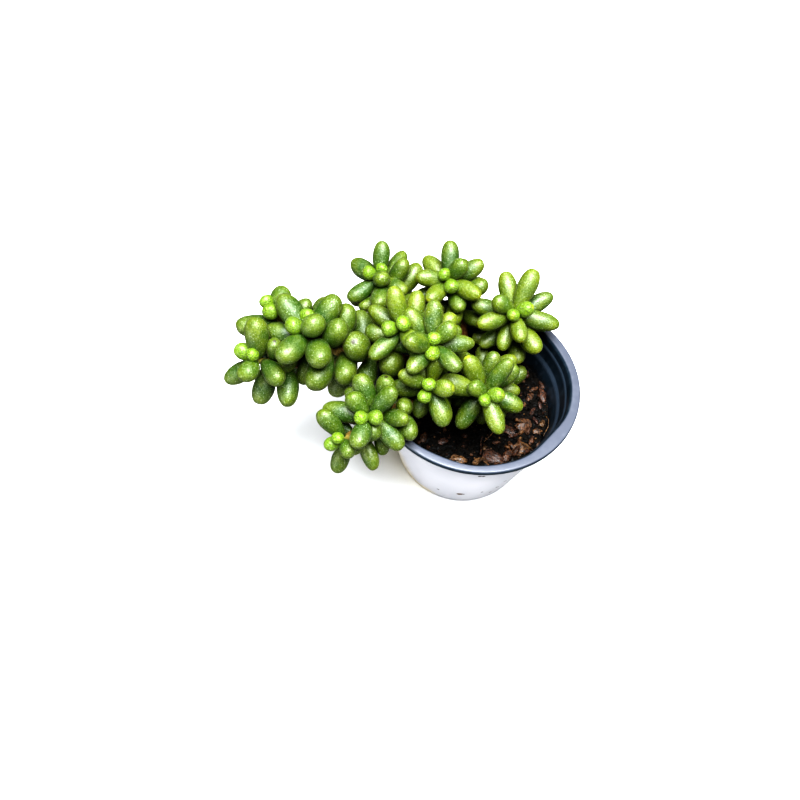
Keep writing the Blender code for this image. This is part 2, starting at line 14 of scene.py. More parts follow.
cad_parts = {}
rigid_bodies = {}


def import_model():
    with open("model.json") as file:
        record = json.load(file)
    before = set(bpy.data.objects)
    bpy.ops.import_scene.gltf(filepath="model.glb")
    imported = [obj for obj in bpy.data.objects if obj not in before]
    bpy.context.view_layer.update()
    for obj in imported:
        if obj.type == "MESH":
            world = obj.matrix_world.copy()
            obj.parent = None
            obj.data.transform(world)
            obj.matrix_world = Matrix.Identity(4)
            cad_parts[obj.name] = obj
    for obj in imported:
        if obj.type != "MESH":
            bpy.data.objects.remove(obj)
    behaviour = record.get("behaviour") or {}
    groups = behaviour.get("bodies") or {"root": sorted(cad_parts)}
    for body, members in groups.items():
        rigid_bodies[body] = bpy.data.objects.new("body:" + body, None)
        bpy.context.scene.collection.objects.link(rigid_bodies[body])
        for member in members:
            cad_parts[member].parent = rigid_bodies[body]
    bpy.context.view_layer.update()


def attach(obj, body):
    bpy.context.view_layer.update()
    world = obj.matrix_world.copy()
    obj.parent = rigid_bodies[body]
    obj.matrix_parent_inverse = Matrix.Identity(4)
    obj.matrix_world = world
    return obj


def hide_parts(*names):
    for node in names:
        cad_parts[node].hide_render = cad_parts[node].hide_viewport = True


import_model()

MM = 0.001
SEED = 11

# Pots
SEAT_GAP = 0.3 * MM
RIM_HEIGHT = 62.3 * MM
FLANGE_RADIUS = 45.0 * MM
FLANGE_THICKNESS = 1.0 * MM
LIP_DROP = 2.2 * MM
LIP_THICKNESS = 0.8 * MM
FLANGE_BEVEL = 0.5 * MM
COVER_TOP_RADIUS = 42.8 * MM
COVER_FOOT_RADIUS = 30.5 * MM
COVER_WALL = 0.8 * MM
COVER_FLOOR = 1.6 * MM
FOOT_ROUNDING = 4.0 * MM
NURSERY_WALL = 0.5 * MM
NURSERY_FLOOR = 6.0 * MM
NURSERY_FOOT_RADIUS = 27.5 * MM
# The outer wall's steps lie this much lower than the inner ones
STEP_DROP = 0.3 * MM
DRAIN_HOLES = 5
DRAIN_RADIUS = 2.5 * MM
DRAIN_RING = 17.0 * MM
TURN_STEPS = 144

# The nursery pot's inner wall from the flange down: radius and height of each step
INNER_STEPS = (
    (41.9 * MM, RIM_HEIGHT),
    (41.0 * MM, 61.2 * MM),
    (40.4 * MM, 57.8 * MM),
    (39.8 * MM, 57.0 * MM),
    (38.9 * MM, 51.2 * MM),
    (37.9 * MM, 49.6 * MM),
    (NURSERY_FOOT_RADIUS, NURSERY_FLOOR + NURSERY_WALL),
)

# Soil
SOIL_HEIGHT = 42.5 * MM
SOIL_SWELL = 1.1 * MM
SOIL_GRAIN = 9.0 * MM
# The swells fade out over this width, and end this far from the wall
SOIL_FADE = 6.0 * MM
SOIL_EDGE = 2.0 * MM
SOIL_CLEARANCE = 0.4 * MM
HOLE_DEPTH = 8.0 * MM

# Stems and leaves
GOLDEN_ANGLE = math.radians(137.508)
STEM_RADIUS = 2.2 * MM
# A stem's thickness at its tip as a share of the full one, and how fast it grows down from there
STEM_TIP = 0.45
STEM_TAPER = 1.8
TIP_SETBACK = 0.7 * MM
# A leaf's form: where it is fattest, how flat it is, how it bends
LEAF_SKEW = 1.42
LEAF_FLATNESS = 0.92
LEAF_CURL = 0.08
# How far the youngest and the old leaves open from the stem, in degrees
YOUNG_TILT = 16.0
OLD_TILT = 88.0
OPEN_FROM_LEAF = 4.0
OPENING_CURVE = 0.7
# The youngest leaf's length as a share of a ripe one's, and its width to its length
BUD_LENGTH = 0.36
BUD_FATNESS = 0.86
RIPE_FROM_LEAF = 3.2
RIPENING_CURVE = 1.6
# Leaves start this far above the soil and above the stem's foot
BARE_ABOVE_SOIL = 3 * MM
BARE_FOOT = 2 * MM
LEAFY_SOIL_RADIUS = 38 * MM
# Leaves crowd towards the tip: the share of their spacing that is even, and the crowding's power
EVEN_SPACING = 0.2
CROWDING = 1.8
# Random spread of the turn about the stem in radians, of the tilt in degrees, and of the size
VARY_TURN = 0.10
VARY_TILT = 6.0
VARY_LENGTH = 0.06
VARY_WIDTH = 0.05
# Half of the short stretch of stem on which its direction is measured
STEM_WAY_STEP = 0.6 * MM

# Settling: each leaf is felt as three balls, by place along it and share of its half width
LEAF_BALLS = ((0.30, 0.78), (0.56, 0.99), (0.80, 0.88))
# Rings of balls stand for the pots' walls, by height and radius
WALL_RINGS = ((62, 43.5), (58, 41.5), (53, 40.5), (48, 39.5), (43, 38.5))
WALL_BALLS = 80
WALL_BALL_RADIUS = 2.3 * MM
STEM_BALLS = 20
CLEAR_OF_OTHER_STEMS = 1.3 * MM
CLEAR_OF_THINGS = 0.5 * MM
CLEAR_OF_SOIL = 2.5 * MM
CLEAR_OF_TABLE = 2 * MM
SQUEEZE_IN_STEM = 0.5 * MM
SETTLE_STEPS = 60
PUSH_BY_LEAF = 0.35
PUSH_BY_THING = 0.5
PUSH_BY_FLOOR = 0.8
MOST_TURN = 0.15
PULL_TO_REST = 0.02


class Shoot:
    """One stem with its leaves, its sizes in mm. A heading is an angle about Z from +X
    and a lean is the tip's angle from upright, both in degrees. A branch starts at a
    share of its parent's length."""

    def __init__(self, name, tip, heading, lean, leaves, first, length, leafy,
                 root=None, branch=None, rise=14.0, reach=22.0, fatness=0.49):
        self.name = name
        self.group = name[0]
        self.tip = np.array(tip) * MM
        self.axis = aim(heading, lean)
        self.leaves = leaves
        self.first = math.radians(first)
        self.length = length * MM
        self.leafy = leafy * MM
        self.root = root
        self.branch = branch
        self.rise = rise * MM
        self.reach = reach * MM
        self.fatness = fatness

    def grow(self, stems):
        """Works out the stem's line, from its root to its tip."""
        if self.branch:
            parent, share = self.branch
            line = stems[parent].line
            start = at(line, share * line[-1, 3])
            foot = start
            control = start
        else:
            x, y = self.root[0] * MM, self.root[1] * MM
            start = np.array((x, y, SOIL_HEIGHT + 0.5 * MM))
            foot = np.array((x, y, SOIL_HEIGHT - HOLE_DEPTH + SEAT_GAP))
            control = start + np.array((0.0, 0.0, self.rise))
        curve = cubic(start, control, self.tip - self.axis * self.reach, self.tip)
        points = curve if self.branch else np.vstack([foot, curve])
        steps = np.linalg.norm(np.diff(points, axis=0), axis=1)
        self.line = np.column_stack([points, np.concatenate([[0.0], np.cumsum(steps)])])


class Leaf:
    def __init__(self, group, age, base, way, stem_way, length, width):
        self.group = group
        self.age = age
        self.base = base
        self.way = way
        self.stem_way = stem_way
        self.length = length
        self.width = width


def unit(v):
    return v / np.maximum(np.linalg.norm(v, axis=-1, keepdims=True), 1e-12)


def aim(heading, lean):
    h = math.radians(heading)
    l = math.radians(lean)
    return np.array((math.cos(h) * math.sin(l), math.sin(h) * math.sin(l), math.cos(l)))


def cubic(a, b, c, d, count=120):
    t = np.linspace(0.0, 1.0, count)[:, None]
    return (1 - t) ** 3 * a + 3 * t * (1 - t) ** 2 * b + 3 * t * t * (1 - t) * c + t ** 3 * d


def at(line, distance):
    """The point that lies a distance along a line of x, y, z and distance."""
    return np.array([np.interp(distance, line[:, 3], line[:, k]) for k in range(3)])


SHOOTS = (
    Shoot("a1", (-71.4, -0.7, 89.1), 100, 10, 24, 64, 19.2, 44,
          root=(-16, 8), rise=34, reach=26, fatness=0.53),
    Shoot("a2", (-92, -11, 79), 228, 28, 13, 7, 18.4, 22,
          branch=("a1", 0.60), fatness=0.51),
    Shoot("a3", (-87, 9, 86), 140, 24, 7, 150, 18.0, 17,
          branch=("a1", 0.66), fatness=0.51),
    Shoot("b", (-45.8, 34.1, 83.4), 271, 25, 19, 28, 17.8, 24,
          root=(-22, 20), rise=26, reach=14, fatness=0.46),
    Shoot("c", (-15.6, 33.4, 85.7), 268, 43, 20, 134, 16.6, 28,
          root=(-4, 29), rise=20, reach=16, fatness=0.46),
    Shoot("d", (13, 20, 84), 266, 36, 19, 236, 18.4, 28,
          root=(18, 26), fatness=0.42),
    Shoot("e1", (-34, -1, 94), 259, 30, 14, 50, 17.8, 27,
          root=(-10, 4), fatness=0.46),
    Shoot("e2", (-21, -8, 95), 273, 31, 14, 126, 16.6, 17,
          branch=("e1", 0.60), fatness=0.46),
    Shoot("e3", (-21, -20.7, 82.4), 259, 42, 13, 100, 16.2, 25,
          branch=("e1", 0.42), fatness=0.46),
    Shoot("f", (2.4, -17.8, 77), 281, 45, 24, 232, 17.2, 40,
          root=(8, 6), fatness=0.45),
    Shoot("g1", (-44, -33, 78), 250, 30, 19, 214, 17.6, 28,
          root=(-16, -8), rise=24, fatness=0.44),
    Shoot("g2", (-53.6, -40.5, 70.4), 235, 45, 9, 66, 15.6, 15,
          branch=("g1", 0.84), fatness=0.46),
)


# Where the leaves go

def place_leaves(shoot, rng):
    """Leaves follow each other by the golden angle down from the tip. The young ones
    at the tip are short and point along the stem, the old ones stand out from it."""
    line = shoot.line
    total = line[-1, 3]
    leaves = []
    for i in range(shoot.leaves):
        share = i / (shoot.leaves - 1)
        spacing = EVEN_SPACING * share + (1.0 - EVEN_SPACING) * share ** CROWDING
        distance = total - TIP_SETBACK - shoot.leafy * spacing
        jitter = rng.normal(0.0, 1.0, 4)
        base = at(line, distance)
        over_soil = math.hypot(base[0], base[1]) < LEAFY_SOIL_RADIUS
        too_low = over_soil and base[2] < SOIL_HEIGHT + BARE_ABOVE_SOIL
        if distance < BARE_FOOT or too_low:
            break
        ahead = at(line, min(distance + STEM_WAY_STEP, total))
        stem_way = unit(ahead - at(line, distance - STEM_WAY_STEP))
        first_side = unit(np.array((1.0, 0.0, 0.0)) - stem_way * stem_way[0])
        second_side = np.cross(stem_way, first_side)
        around = shoot.first + GOLDEN_ANGLE * i + VARY_TURN * jitter[0]
        opening = min(1.0, i / OPEN_FROM_LEAF) ** OPENING_CURVE
        tilt = YOUNG_TILT + (OLD_TILT - YOUNG_TILT) * opening + VARY_TILT * jitter[1]
        tilt = math.radians(tilt)
        outward = math.cos(around) * first_side + math.sin(around) * second_side
        way = math.cos(tilt) * stem_way + math.sin(tilt) * outward
        ripe = min(1.0, i / RIPE_FROM_LEAF) ** RIPENING_CURVE
        length = shoot.length * (BUD_LENGTH + (1.0 - BUD_LENGTH) * ripe)
        length *= 1 + VARY_LENGTH * jitter[2]
        fatness = BUD_FATNESS + (shoot.fatness - BUD_FATNESS) * ripe
        width = length * fatness * (1 + VARY_WIDTH * jitter[3])
        leaves.append(Leaf(shoot.group, i, base, way, stem_way, length, width))
    return leaves


def obstacles():
    """Balls along the stems and round the pots' rims that the leaves keep clear of."""
    centres = []
    radii = []
    owners = []
    for shoot in SHOOTS:
        for distance in np.linspace(0.0, shoot.line[-1, 3], STEM_BALLS):
            centres.append(at(shoot.line, distance))
            radii.append(STEM_RADIUS)
            owners.append(shoot.group)
    for height, radius in WALL_RINGS:
        for turn in np.linspace(0.0, math.tau, WALL_BALLS, endpoint=False):
            ring = (radius * math.cos(turn), radius * math.sin(turn), height)
            centres.append(np.array(ring) * MM)
            radii.append(WALL_BALL_RADIUS)
            owners.append("pot")
    return np.array(centres), np.array(radii), np.array(owners)


def settle(leaves):
    """Bends the leaves' directions until they clear the other stems' leaves, the pots
    and the soil, and press only a little into those on their own stem."""
    base = np.array([leaf.base for leaf in leaves])
    way = np.array([leaf.way for leaf in leaves])
    stem_way = np.array([leaf.stem_way for leaf in leaves])
    length = np.array([leaf.length for leaf in leaves])
    width = np.array([leaf.width for leaf in leaves])
    group = np.array([leaf.group for leaf in leaves])
    rest = way.copy()
    place = np.array([ball[0] for ball in LEAF_BALLS])
    radius = width[:, None] / 2 * np.array([ball[1] for ball in LEAF_BALLS])
    lever = place * length[:, None]
    thing, thing_radius, thing_owner = obstacles()

    apart = np.linalg.norm(base[:, None] - base[None], axis=2)
    near = np.triu(apart < length[:, None] + length[None] + MM, 1)
    one, other = np.nonzero(near)
    same = group[one] == group[other]
    room = np.where(same, -SQUEEZE_IN_STEM, CLEAR_OF_OTHER_STEMS)
    to_thing = np.linalg.norm(base[:, None] - thing[None], axis=2)
    leaf, item = np.nonzero(to_thing < (length + width)[:, None])
    own_stem = group[leaf] == thing_owner[item]

    for _ in range(SETTLE_STEPS):
        side = unit(stem_way - way * (stem_way * way).sum(1)[:, None])
        curl = (LEAF_CURL * length[:, None] * place ** 2)[..., None]
        ball = base[:, None] + way[:, None] * lever[..., None] + side[:, None] * curl
        push = np.zeros_like(ball)
        for a in range(3):
            for b in range(3):
                between = ball[one, a] - ball[other, b]
                distance = np.linalg.norm(between, axis=1) + 1e-12
                overlap = radius[one, a] + radius[other, b] + room - distance
                if a == 0 or b == 0:
                    overlap = np.where(same, 0.0, overlap)
                move = between * (PUSH_BY_LEAF * np.maximum(overlap, 0.0) / distance)[:, None]
                np.add.at(push[:, a], one, move)
                np.add.at(push[:, b], other, -move)
            between = ball[leaf, a] - thing[item]
            distance = np.linalg.norm(between, axis=1) + 1e-12
            overlap = radius[leaf, a] + thing_radius[item] + CLEAR_OF_THINGS - distance
            if a < 2:
                overlap = np.where(own_stem, 0.0, overlap)
            move = between * (PUSH_BY_THING * np.maximum(overlap, 0.0) / distance)[:, None]
            np.add.at(push[:, a], leaf, move)
        over_soil = np.hypot(ball[..., 0], ball[..., 1]) < LEAFY_SOIL_RADIUS + 2 * MM
        floor = np.where(over_soil, SOIL_HEIGHT + CLEAR_OF_SOIL, CLEAR_OF_TABLE)
        push[..., 2] += PUSH_BY_FLOOR * np.maximum(floor + radius - ball[..., 2], 0.0)
        turn = (push / lever[..., None]).sum(1)
        turn -= way * (turn * way).sum(1)[:, None]
        size = np.linalg.norm(turn, axis=1)
        turn *= np.minimum(1.0, MOST_TURN / np.maximum(size, 1e-12))[:, None]
        way = unit(way + turn + PULL_TO_REST * (rest - way))
    for k, item in enumerate(leaves):
        item.way = way[k]


def lay_out():
    stems = {}
    for shoot in SHOOTS:
        shoot.grow(stems)
        stems[shoot.name] = shoot
    rng = np.random.default_rng(SEED)
    leaves = []
    for shoot in SHOOTS:
        leaves += place_leaves(shoot, rng)
    settle(leaves)
    return leaves


# Finer shapes
LEAF_SIDES = 26
LEAF_RINGS = 20
# The leaves' ends are a little blunter here than in the solids, where this is 0.44
LEAF_BLUNT = 0.38
LEAF_DENTS = 0.5 * MM
LEAF_DENT_SIZE = 5.5 * MM
LEAF_BULGE = 0.12
SCARRED_SHARE = 0.07
STEM_POINTS = 40
STEM_SIDES = 14
STEM_KNOBS = 0.7 * MM
STEM_KNOB_SIZE = 2.5 * MM
SOIL_RINGS = 60
SOIL_STEPS = 170
CLOD = 3.2 * MM
CLOD_HEIGHT = 0.9 * MM

# How green each group's leaves are, between dark at 0 and yellowish at 1. Each leaf's tone is drawn
# at random in its group's range; the ranges also paint shade on the a and g groups and light on the
# d, e and f groups
LEAF_TONES_AND_PAINTED_LIGHT = {
    "a": (0.0, 0.35), "b": (0.0, 0.8), "c": (0.0, 1.0), "d": (0.4, 1.0),
    "e": (0.3, 1.0), "f": (0.4, 1.0), "g": (0.0, 0.5),
}

# The nursery pot's wall waves from this height up, and the flange as far out as this radius
WAVE = 0.8 * MM
WAVE_FOOT = 46 * MM
WAVE_RISE = 12 * MM
WAVE_EDGE = 44.5 * MM
WAVE_EDGE_FADE = 2 * MM
WAVES_ROUND = 2.2
WAVE_LENGTH = 14 * MM
DENT_TURN = math.radians(-42.0)
DENT_WIDTH = math.radians(17.0)
DENT_DEPTH = 1.7 * MM
STEP_ROUNDING = 0.45 * MM

# Scattered grains: how many for each square mm, the smallest, the largest, and a seed
CRUMBS = (0.75, 0.45 * MM, 2.6 * MM, 5)
BARK_BITS = (0.05, 0.8 * MM, 4.2 * MM, 9)
CRUMB_LUMP = 0.6 * MM
CRUMB_DEPTH = 0.5 * MM

# Bark chips, as in the solids, in mm: x, y, length, width, height, turn in degrees, paleness
BARK = (
    (-11.5, -21.3, 4.0, 2.6, 1.2, 20, 0.05), (17.1, -13.0, 7.0, 3.4, 1.8, -35, 0.15),
    (24.3, -10.2, 7.0, 5.0, 2.0, 35, 0.35), (-4.2, -29.7, 6.5, 3.2, 1.6, -12, 0.75),
    (3.6, -29.7, 4.6, 2.2, 1.5, 40, 0.85), (10.6, -27.5, 8.6, 5.0, 2.2, -25, 0.10),
    (16.5, -25.9, 6.0, 3.0, 1.8, 60, 0.20), (22.5, -22.2, 6.6, 5.2, 2.2, 15, 0.55),
    (33.3, 7.3, 8.4, 2.8, 1.8, 98, 0.12), (32.6, -8.3, 3.0, 2.2, 1.5, 70, 0.90),
    (30.4, -12.5, 4.0, 2.4, 1.2, 10, 0.45), (27.6, 5.6, 4.4, 2.4, 1.2, 65, 0.30),
    (-24.9, 15.7, 5.2, 2.8, 1.3, 130, 0.40), (6.4, 21.8, 5.6, 3.0, 1.3, 15, 0.30),
    (24.6, 19.8, 5.0, 3.0, 1.4, 150, 0.50), (-19.9, -20.6, 4.6, 2.6, 1.2, 75, 0.35),
)
# Smaller shards heaped round the chips, in the same form
SHARDS = (
    (20.4, -23.6, 5.2, 2.2, 3.2, 62, 0.15), (24.6, -20.8, 5.0, 2.0, 3.4, -30, 0.75),
    (22.0, -19.6, 4.4, 1.8, 2.4, 100, 0.35), (25.2, -23.0, 4.0, 1.6, 2.2, 20, 0.10),
    (18.6, -21.4, 4.6, 1.7, 1.8, -60, 0.30), (27.4, -17.6, 4.4, 1.9, 2.0, 75, 0.20),
    (13.4, -30.2, 5.0, 1.8, 2.0, 8, 0.25), (7.2, -29.6, 4.0, 1.6, 1.6, -50, 0.65),
    (-7.6, -30.4, 3.6, 1.6, 1.6, 30, 0.50), (26.0, -12.4, 4.4, 1.9, 2.6, 80, 0.25),
    (22.4, -8.6, 4.2, 1.8, 2.6, -20, 0.55), (19.4, -15.4, 4.2, 1.5, 1.6, 20, 0.10),
    (29.6, -7.0, 3.6, 1.4, 1.0, 120, 0.00), (28.4, -2.6, 4.2, 1.6, 1.2, 60, 0.05),
    (32.0, 1.2, 3.6, 1.5, 1.2, 100, 0.00), (29.4, 9.6, 4.4, 1.8, 1.4, 40, 0.30),
    (33.2, 12.6, 4.0, 1.6, 1.4, 115, 0.15), (23.6, 1.4, 3.8, 1.6, 1.4, -35, 0.40),
    (30.6, -19.2, 3.6, 1.5, 1.4, 50, 0.35), (12.0, -20.0, 3.4, 1.3, 1.2, 10, 0.20),
)
# A chip starts as a block of this many times its size, and loses these shares of it
CHIP_BLOCK = (1.12, 1.15, 1.7)
CHIP_CUTS = 9
CHIP_TILT = 8.0
CHIP_NOSE = 0.62
CHIP_TAIL = 0.34
CHIP_TAPER = 2.2
CHIP_BEND = 0.22
CHIP_CORNERS = 0.30
CHIP_MIDDLE = 0.55
CHIP_RAGGED = (0.07, 0.09, 0.10)
# Where in the noise the torn edges are read, for each of x, y and z
RAGGED_SHIFTS = ((11.3, 4.7, 8.1), (2.9, 13.6, 5.3), (7.7, 1.4, 12.9))
CHIP_RIDGES = 0.10

# Twigs on the soil, in mm: a line of x, y and height above the soil, a radius, a paleness
TWIGS = (
    (((5.6, -18.2, 2.2), (5.0, -21.2, 1.4), (5.3, -24.3, 1.2), (4.8, -27.2, 1.5)), 0.35, 0.10),
    (((6.5, -20.1, 1.0), (8.8, -17.8, 1.6), (11.3, -15.1, 2.4)), 0.28, 0.75),
    (((34.2, -4.6, 1.0), (34.9, -7.6, 3.0), (34.5, -11.4, 3.6), (32.6, -15.2, 1.2)), 0.22, 0.95),
)
TWIG_POINTS = 24
TWIG_SIDES = 8
TWIG_KNOBS = 0.25 * MM
TWIG_KNOB_SIZE = 1.2 * MM

# Marks on the white pot, in mm: centre, radius and colour
SPECK = (0.035, 0.025, 0.018)
SMUDGE = (0.110, 0.072, 0.042)
POT_MARKS = (
    (3.9, -40.1, 49.4, 0.95, SPECK), (5.5, -40.0, 49.1, 0.90, SPECK),
    (18.4, -30.9, 27.9, 0.85, SPECK), (16.3, -30.2, 19.1, 0.95, SPECK),
    (14.3, -29.5, 11.5, 0.80, SPECK), (9.6, -32.6, 17.5, 0.75, SPECK),
    (-10.5, -31.7, 14.7, 0.80, SPECK), (-0.3, -33.5, 15.3, 1.80, SMUDGE),
    (1.2, -33.5, 15.6, 0.90, SPECK),
)
# A yellow band low on the left side: its direction, how it narrows upwards, and its height
YELLOW_BAND = (0.640, 0.545, 0.330)
YELLOW_BAND_WAY = (-0.940, -0.341, 0.0)
YELLOW_BAND_FADE = 200.0 * MM
YELLOW_BAND_FOOT = 11.0 * MM
YELLOW_BAND_SOFT = 6.0 * MM
# Painted highlights lie along the nursery pot's two ledges, between these heights
LEDGES = ((56.4 * MM, 57.8 * MM), (49.0 * MM, 51.2 * MM))

# Colours
LEAF_DEEP = (0.036, 0.080, 0.003)
LEAF_OLIVE = (0.106, 0.144, 0.006)
LEAF_YELLOWISH = (0.180, 0.220, 0.005)
LEAF_DARK = (0.026, 0.076, 0.003)
LEAF_OLD = (0.056, 0.078, 0.003)
LEAF_UPPER_HALF = (0.190, 0.222, 0.014)
LEAF_YOUNG = (0.168, 0.270, 0.008)
LEAF_DOT = (0.270, 0.325, 0.165)
LEAF_PIT = (0.020, 0.060, 0.003)
# Pale colour of the painted glints on the leaves
LEAF_PAINTED_GLINT = (0.560, 0.640, 0.500)
LEAF_TIP = (0.460, 0.480, 0.040)
LEAF_SCAR = (0.034, 0.024, 0.005)
STEM_BROWN = (0.230, 0.100, 0.040)
STEM_TAN = (0.420, 0.215, 0.090)
STEM_FRESH = (0.200, 0.290, 0.050)
STEM_SCAR = (0.110, 0.048, 0.020)
GLAZE_SHADE = (0.445, 0.445, 0.468)
GLAZE_WHITE = (0.500, 0.494, 0.512)
GLAZE_SMEAR = (0.520, 0.520, 0.580)
GLAZE_DUST = (0.160, 0.110, 0.080)
PLASTIC_DARK = (0.012, 0.023, 0.033)
PLASTIC_PALE = (0.022, 0.036, 0.050)
PLASTIC_FILM = (0.120, 0.140, 0.175)
# Colour of the painted highlights on the ledges
PLASTIC_LEDGE_HIGHLIGHT = (0.050, 0.066, 0.088)
# Lighter colour of the flange's top face
PLASTIC_RIM_TOP = (0.100, 0.107, 0.132)
PLASTIC_SILT = (0.014, 0.009, 0.005)
EARTH_BLACK = (0.0012, 0.0009, 0.0005)
EARTH_BROWN = (0.0060, 0.0040, 0.0018)
EARTH_CRUMB = (0.040, 0.016, 0.008)
EARTH_BIT = (0.260, 0.150, 0.080)
# Bark's dark and pale fibres, each for a red-brown chip and for a tan one
BARK_DARK = ((0.012, 0.004, 0.002), (0.042, 0.021, 0.007))
BARK_PALE = ((0.072, 0.023, 0.009), (0.180, 0.094, 0.030))
BARK_GRIME = (0.012, 0.006, 0.003)
PAPER_SHADE = (0.870, 0.870, 0.870)
PAPER_WHITE = (0.880, 0.880, 0.880)

# Studio: each soft box's place and width in metres, its power in watts and its tint
WHITE = (1.0, 1.0, 1.0)
SOFT_BOXES = {
    "overhead soft box": ((0.0, -0.06, 0.61), 0.46, 9.3, (0.94, 0.97, 1.0)),
    "left fill": ((-0.50, -0.36, 0.07), 0.40, 1.3, WHITE),
    "front fill": ((0.30, -0.50, 0.50), 0.60, 0.5, WHITE),
}
LIT_POINT = (-0.02, 0.0, 0.06)
WORLD_LIGHT = 0.14
FLOOR_HALF = 3.0

# Camera: where the photograph was taken from, its right and up directions, and its lens
CAMERA_PLACE = (-31.723 * MM, -157.879 * MM, 292.723 * MM)
CAMERA_RIGHT = (0.99629, 0.07308, 0.04548)
CAMERA_UP = (-0.08608, 0.84585, 0.52643)
CAMERA_LENS = 29.25
CAMERA_SENSOR = 36.0


# Recipes: small helpers for geometry, material and shared effect trees

class Recipe:
    """Adds and joins the nodes of one tree."""

    def __init__(self, tree):
        self.tree = tree

    def feed(self, socket, value):
        if isinstance(value, bpy.types.NodeSocket):
            self.tree.links.new(value, socket)
        else:
            socket.default_value = value

    def add(self, kind, inputs=None, **settings):
        made = self.tree.nodes.new(kind)
        for key, value in settings.items():
            setattr(made, key, value)
        for key, value in (inputs or {}).items():
            self.feed(made.inputs[key], value)
        return made

    def math(self, operation, *values, clamp=False):
        given = dict(enumerate(values))
        return self.add("ShaderNodeMath", given, operation=operation, use_clamp=clamp).outputs[0]

    def times(self, first, second):
        return self.math("MULTIPLY", first, second)

    def plus(self, first, second):
        return self.math("ADD", first, second)

    def minus(self, first, second):
        return self.math("SUBTRACT", first, second)

    def divided(self, first, second):
        return self.math("DIVIDE", first, second)

    def vector(self, operation, *values):
        made = self.add("ShaderNodeVectorMath", dict(enumerate(values)), operation=operation)
        number = operation in ("DOT_PRODUCT", "DISTANCE")
        return made.outputs["Value" if number else "Vector"]

    def scaled(self, vector, factor):
        given = {0: vector, "Scale": factor}
        return self.add("ShaderNodeVectorMath", given, operation="SCALE").outputs["Vector"]

    def parts(self, vector):
        return self.add("ShaderNodeSeparateXYZ", {0: vector}).outputs

    def joined(self, x, y, z):
        return self.add("ShaderNodeCombineXYZ", {0: x, 1: y, 2: z}).outputs[0]

    def ease(self, value, low, high, top=1.0):
        """0 at low, top at high, with soft ends."""
        given = {"Value": value, "From Min": low, "From Max": high, "To Max": top}
        made = self.add("ShaderNodeMapRange", given, interpolation_type="SMOOTHSTEP")
        return made.outputs["Result"]

    def mix(self, share, first, second):
        given = {0: share, 6: colour(first), 7: colour(second)}
        return self.add("ShaderNodeMix", given, data_type="RGBA").outputs[2]

    def over(self, skin, mask, share, top):
        """The skin with a share of another colour laid over it where the mask is."""
        return self.mix(self.times(mask, share), skin, top)

    def cloud(self, where, scale, detail=2.0):
        """Soft noise between 0 and 1."""
        given = {"Vector": where, "Scale": scale, "Detail": detail}
        return self.add("ShaderNodeTexNoise", given).outputs[0]


def colour(value):
    return (*value, 1.0) if isinstance(value, tuple) else value


# Shared effects

def effect(name, outputs, **inputs):
    """An empty shader node group. Its inputs are a Vector and the given numbers, or
    vectors where no number is given, and its outputs are numbers."""
    tree = bpy.data.node_groups.new(name, "ShaderNodeTree")
    for title, value in {"Vector": None, **inputs}.items():
        kind = "NodeSocketVector" if value is None else "NodeSocketFloat"
        socket = tree.interface.new_socket(title, in_out="INPUT", socket_type=kind)
        if value is not None:
            socket.default_value = value
    for title in outputs:
        tree.interface.new_socket(title, in_out="OUTPUT", socket_type="NodeSocketFloat")
    given = tree.nodes.new("NodeGroupInput").outputs
    return Recipe(tree), given, tree.nodes.new("NodeGroupOutput").inputs


def make_speckle():
    """Small round dots, one in some of the cells of an even scatter, and their low domes."""
    r, given, out = effect("speckle", ("Mask", "Dome"), Cell=1 * MM, Dot=0.3, Share=0.6)
    scale = r.divided(1.0, given["Cell"])
    cells = r.add("ShaderNodeTexVoronoi", {"Vector": given["Vector"], "Scale": scale}).outputs
    chance = r.add("ShaderNodeSeparateColor", {0: cells["Color"]}).outputs[0]
    picked = r.math("LESS_THAN", chance, given["Share"])
    dot = r.ease(cells["Distance"], given["Dot"], r.times(given["Dot"], 0.5))
    r.feed(out["Mask"], r.times(dot, picked))
    r.feed(out["Dome"], r.ease(cells["Distance"], 0.75, 0.0))
    return r.tree


def make_mottle():
    """Soft uneven patches of a given size."""
    r, given, out = effect("mottle", ("Mask",), Size=5 * MM, Detail=2.0, Low=0.35, High=0.65)
    cloud = r.cloud(given["Vector"], r.divided(1.0, given["Size"]), given["Detail"])
    r.feed(out["Mask"], r.ease(cloud, given["Low"], given["High"]))
    return r.tree


def make_spot():
    """One ragged mark round a point."""
    r, given, out = effect("spot", ("Mask",), Centre=None, Radius=1 * MM, Ragged=0.5)
    cloud = r.cloud(given["Vector"], r.divided(0.8, given["Radius"]))
    away = r.divided(r.vector("DISTANCE", given["Vector"], given["Centre"]), given["Radius"])
    rough = r.times(r.minus(cloud, 0.5), r.times(given["Ragged"], 2.0))
    r.feed(out["Mask"], r.ease(r.plus(away, rough), 1.0, 0.7))
    return r.tree


SPECKLE = make_speckle()
MOTTLE = make_mottle()
SPOT = make_spot()


# Materials

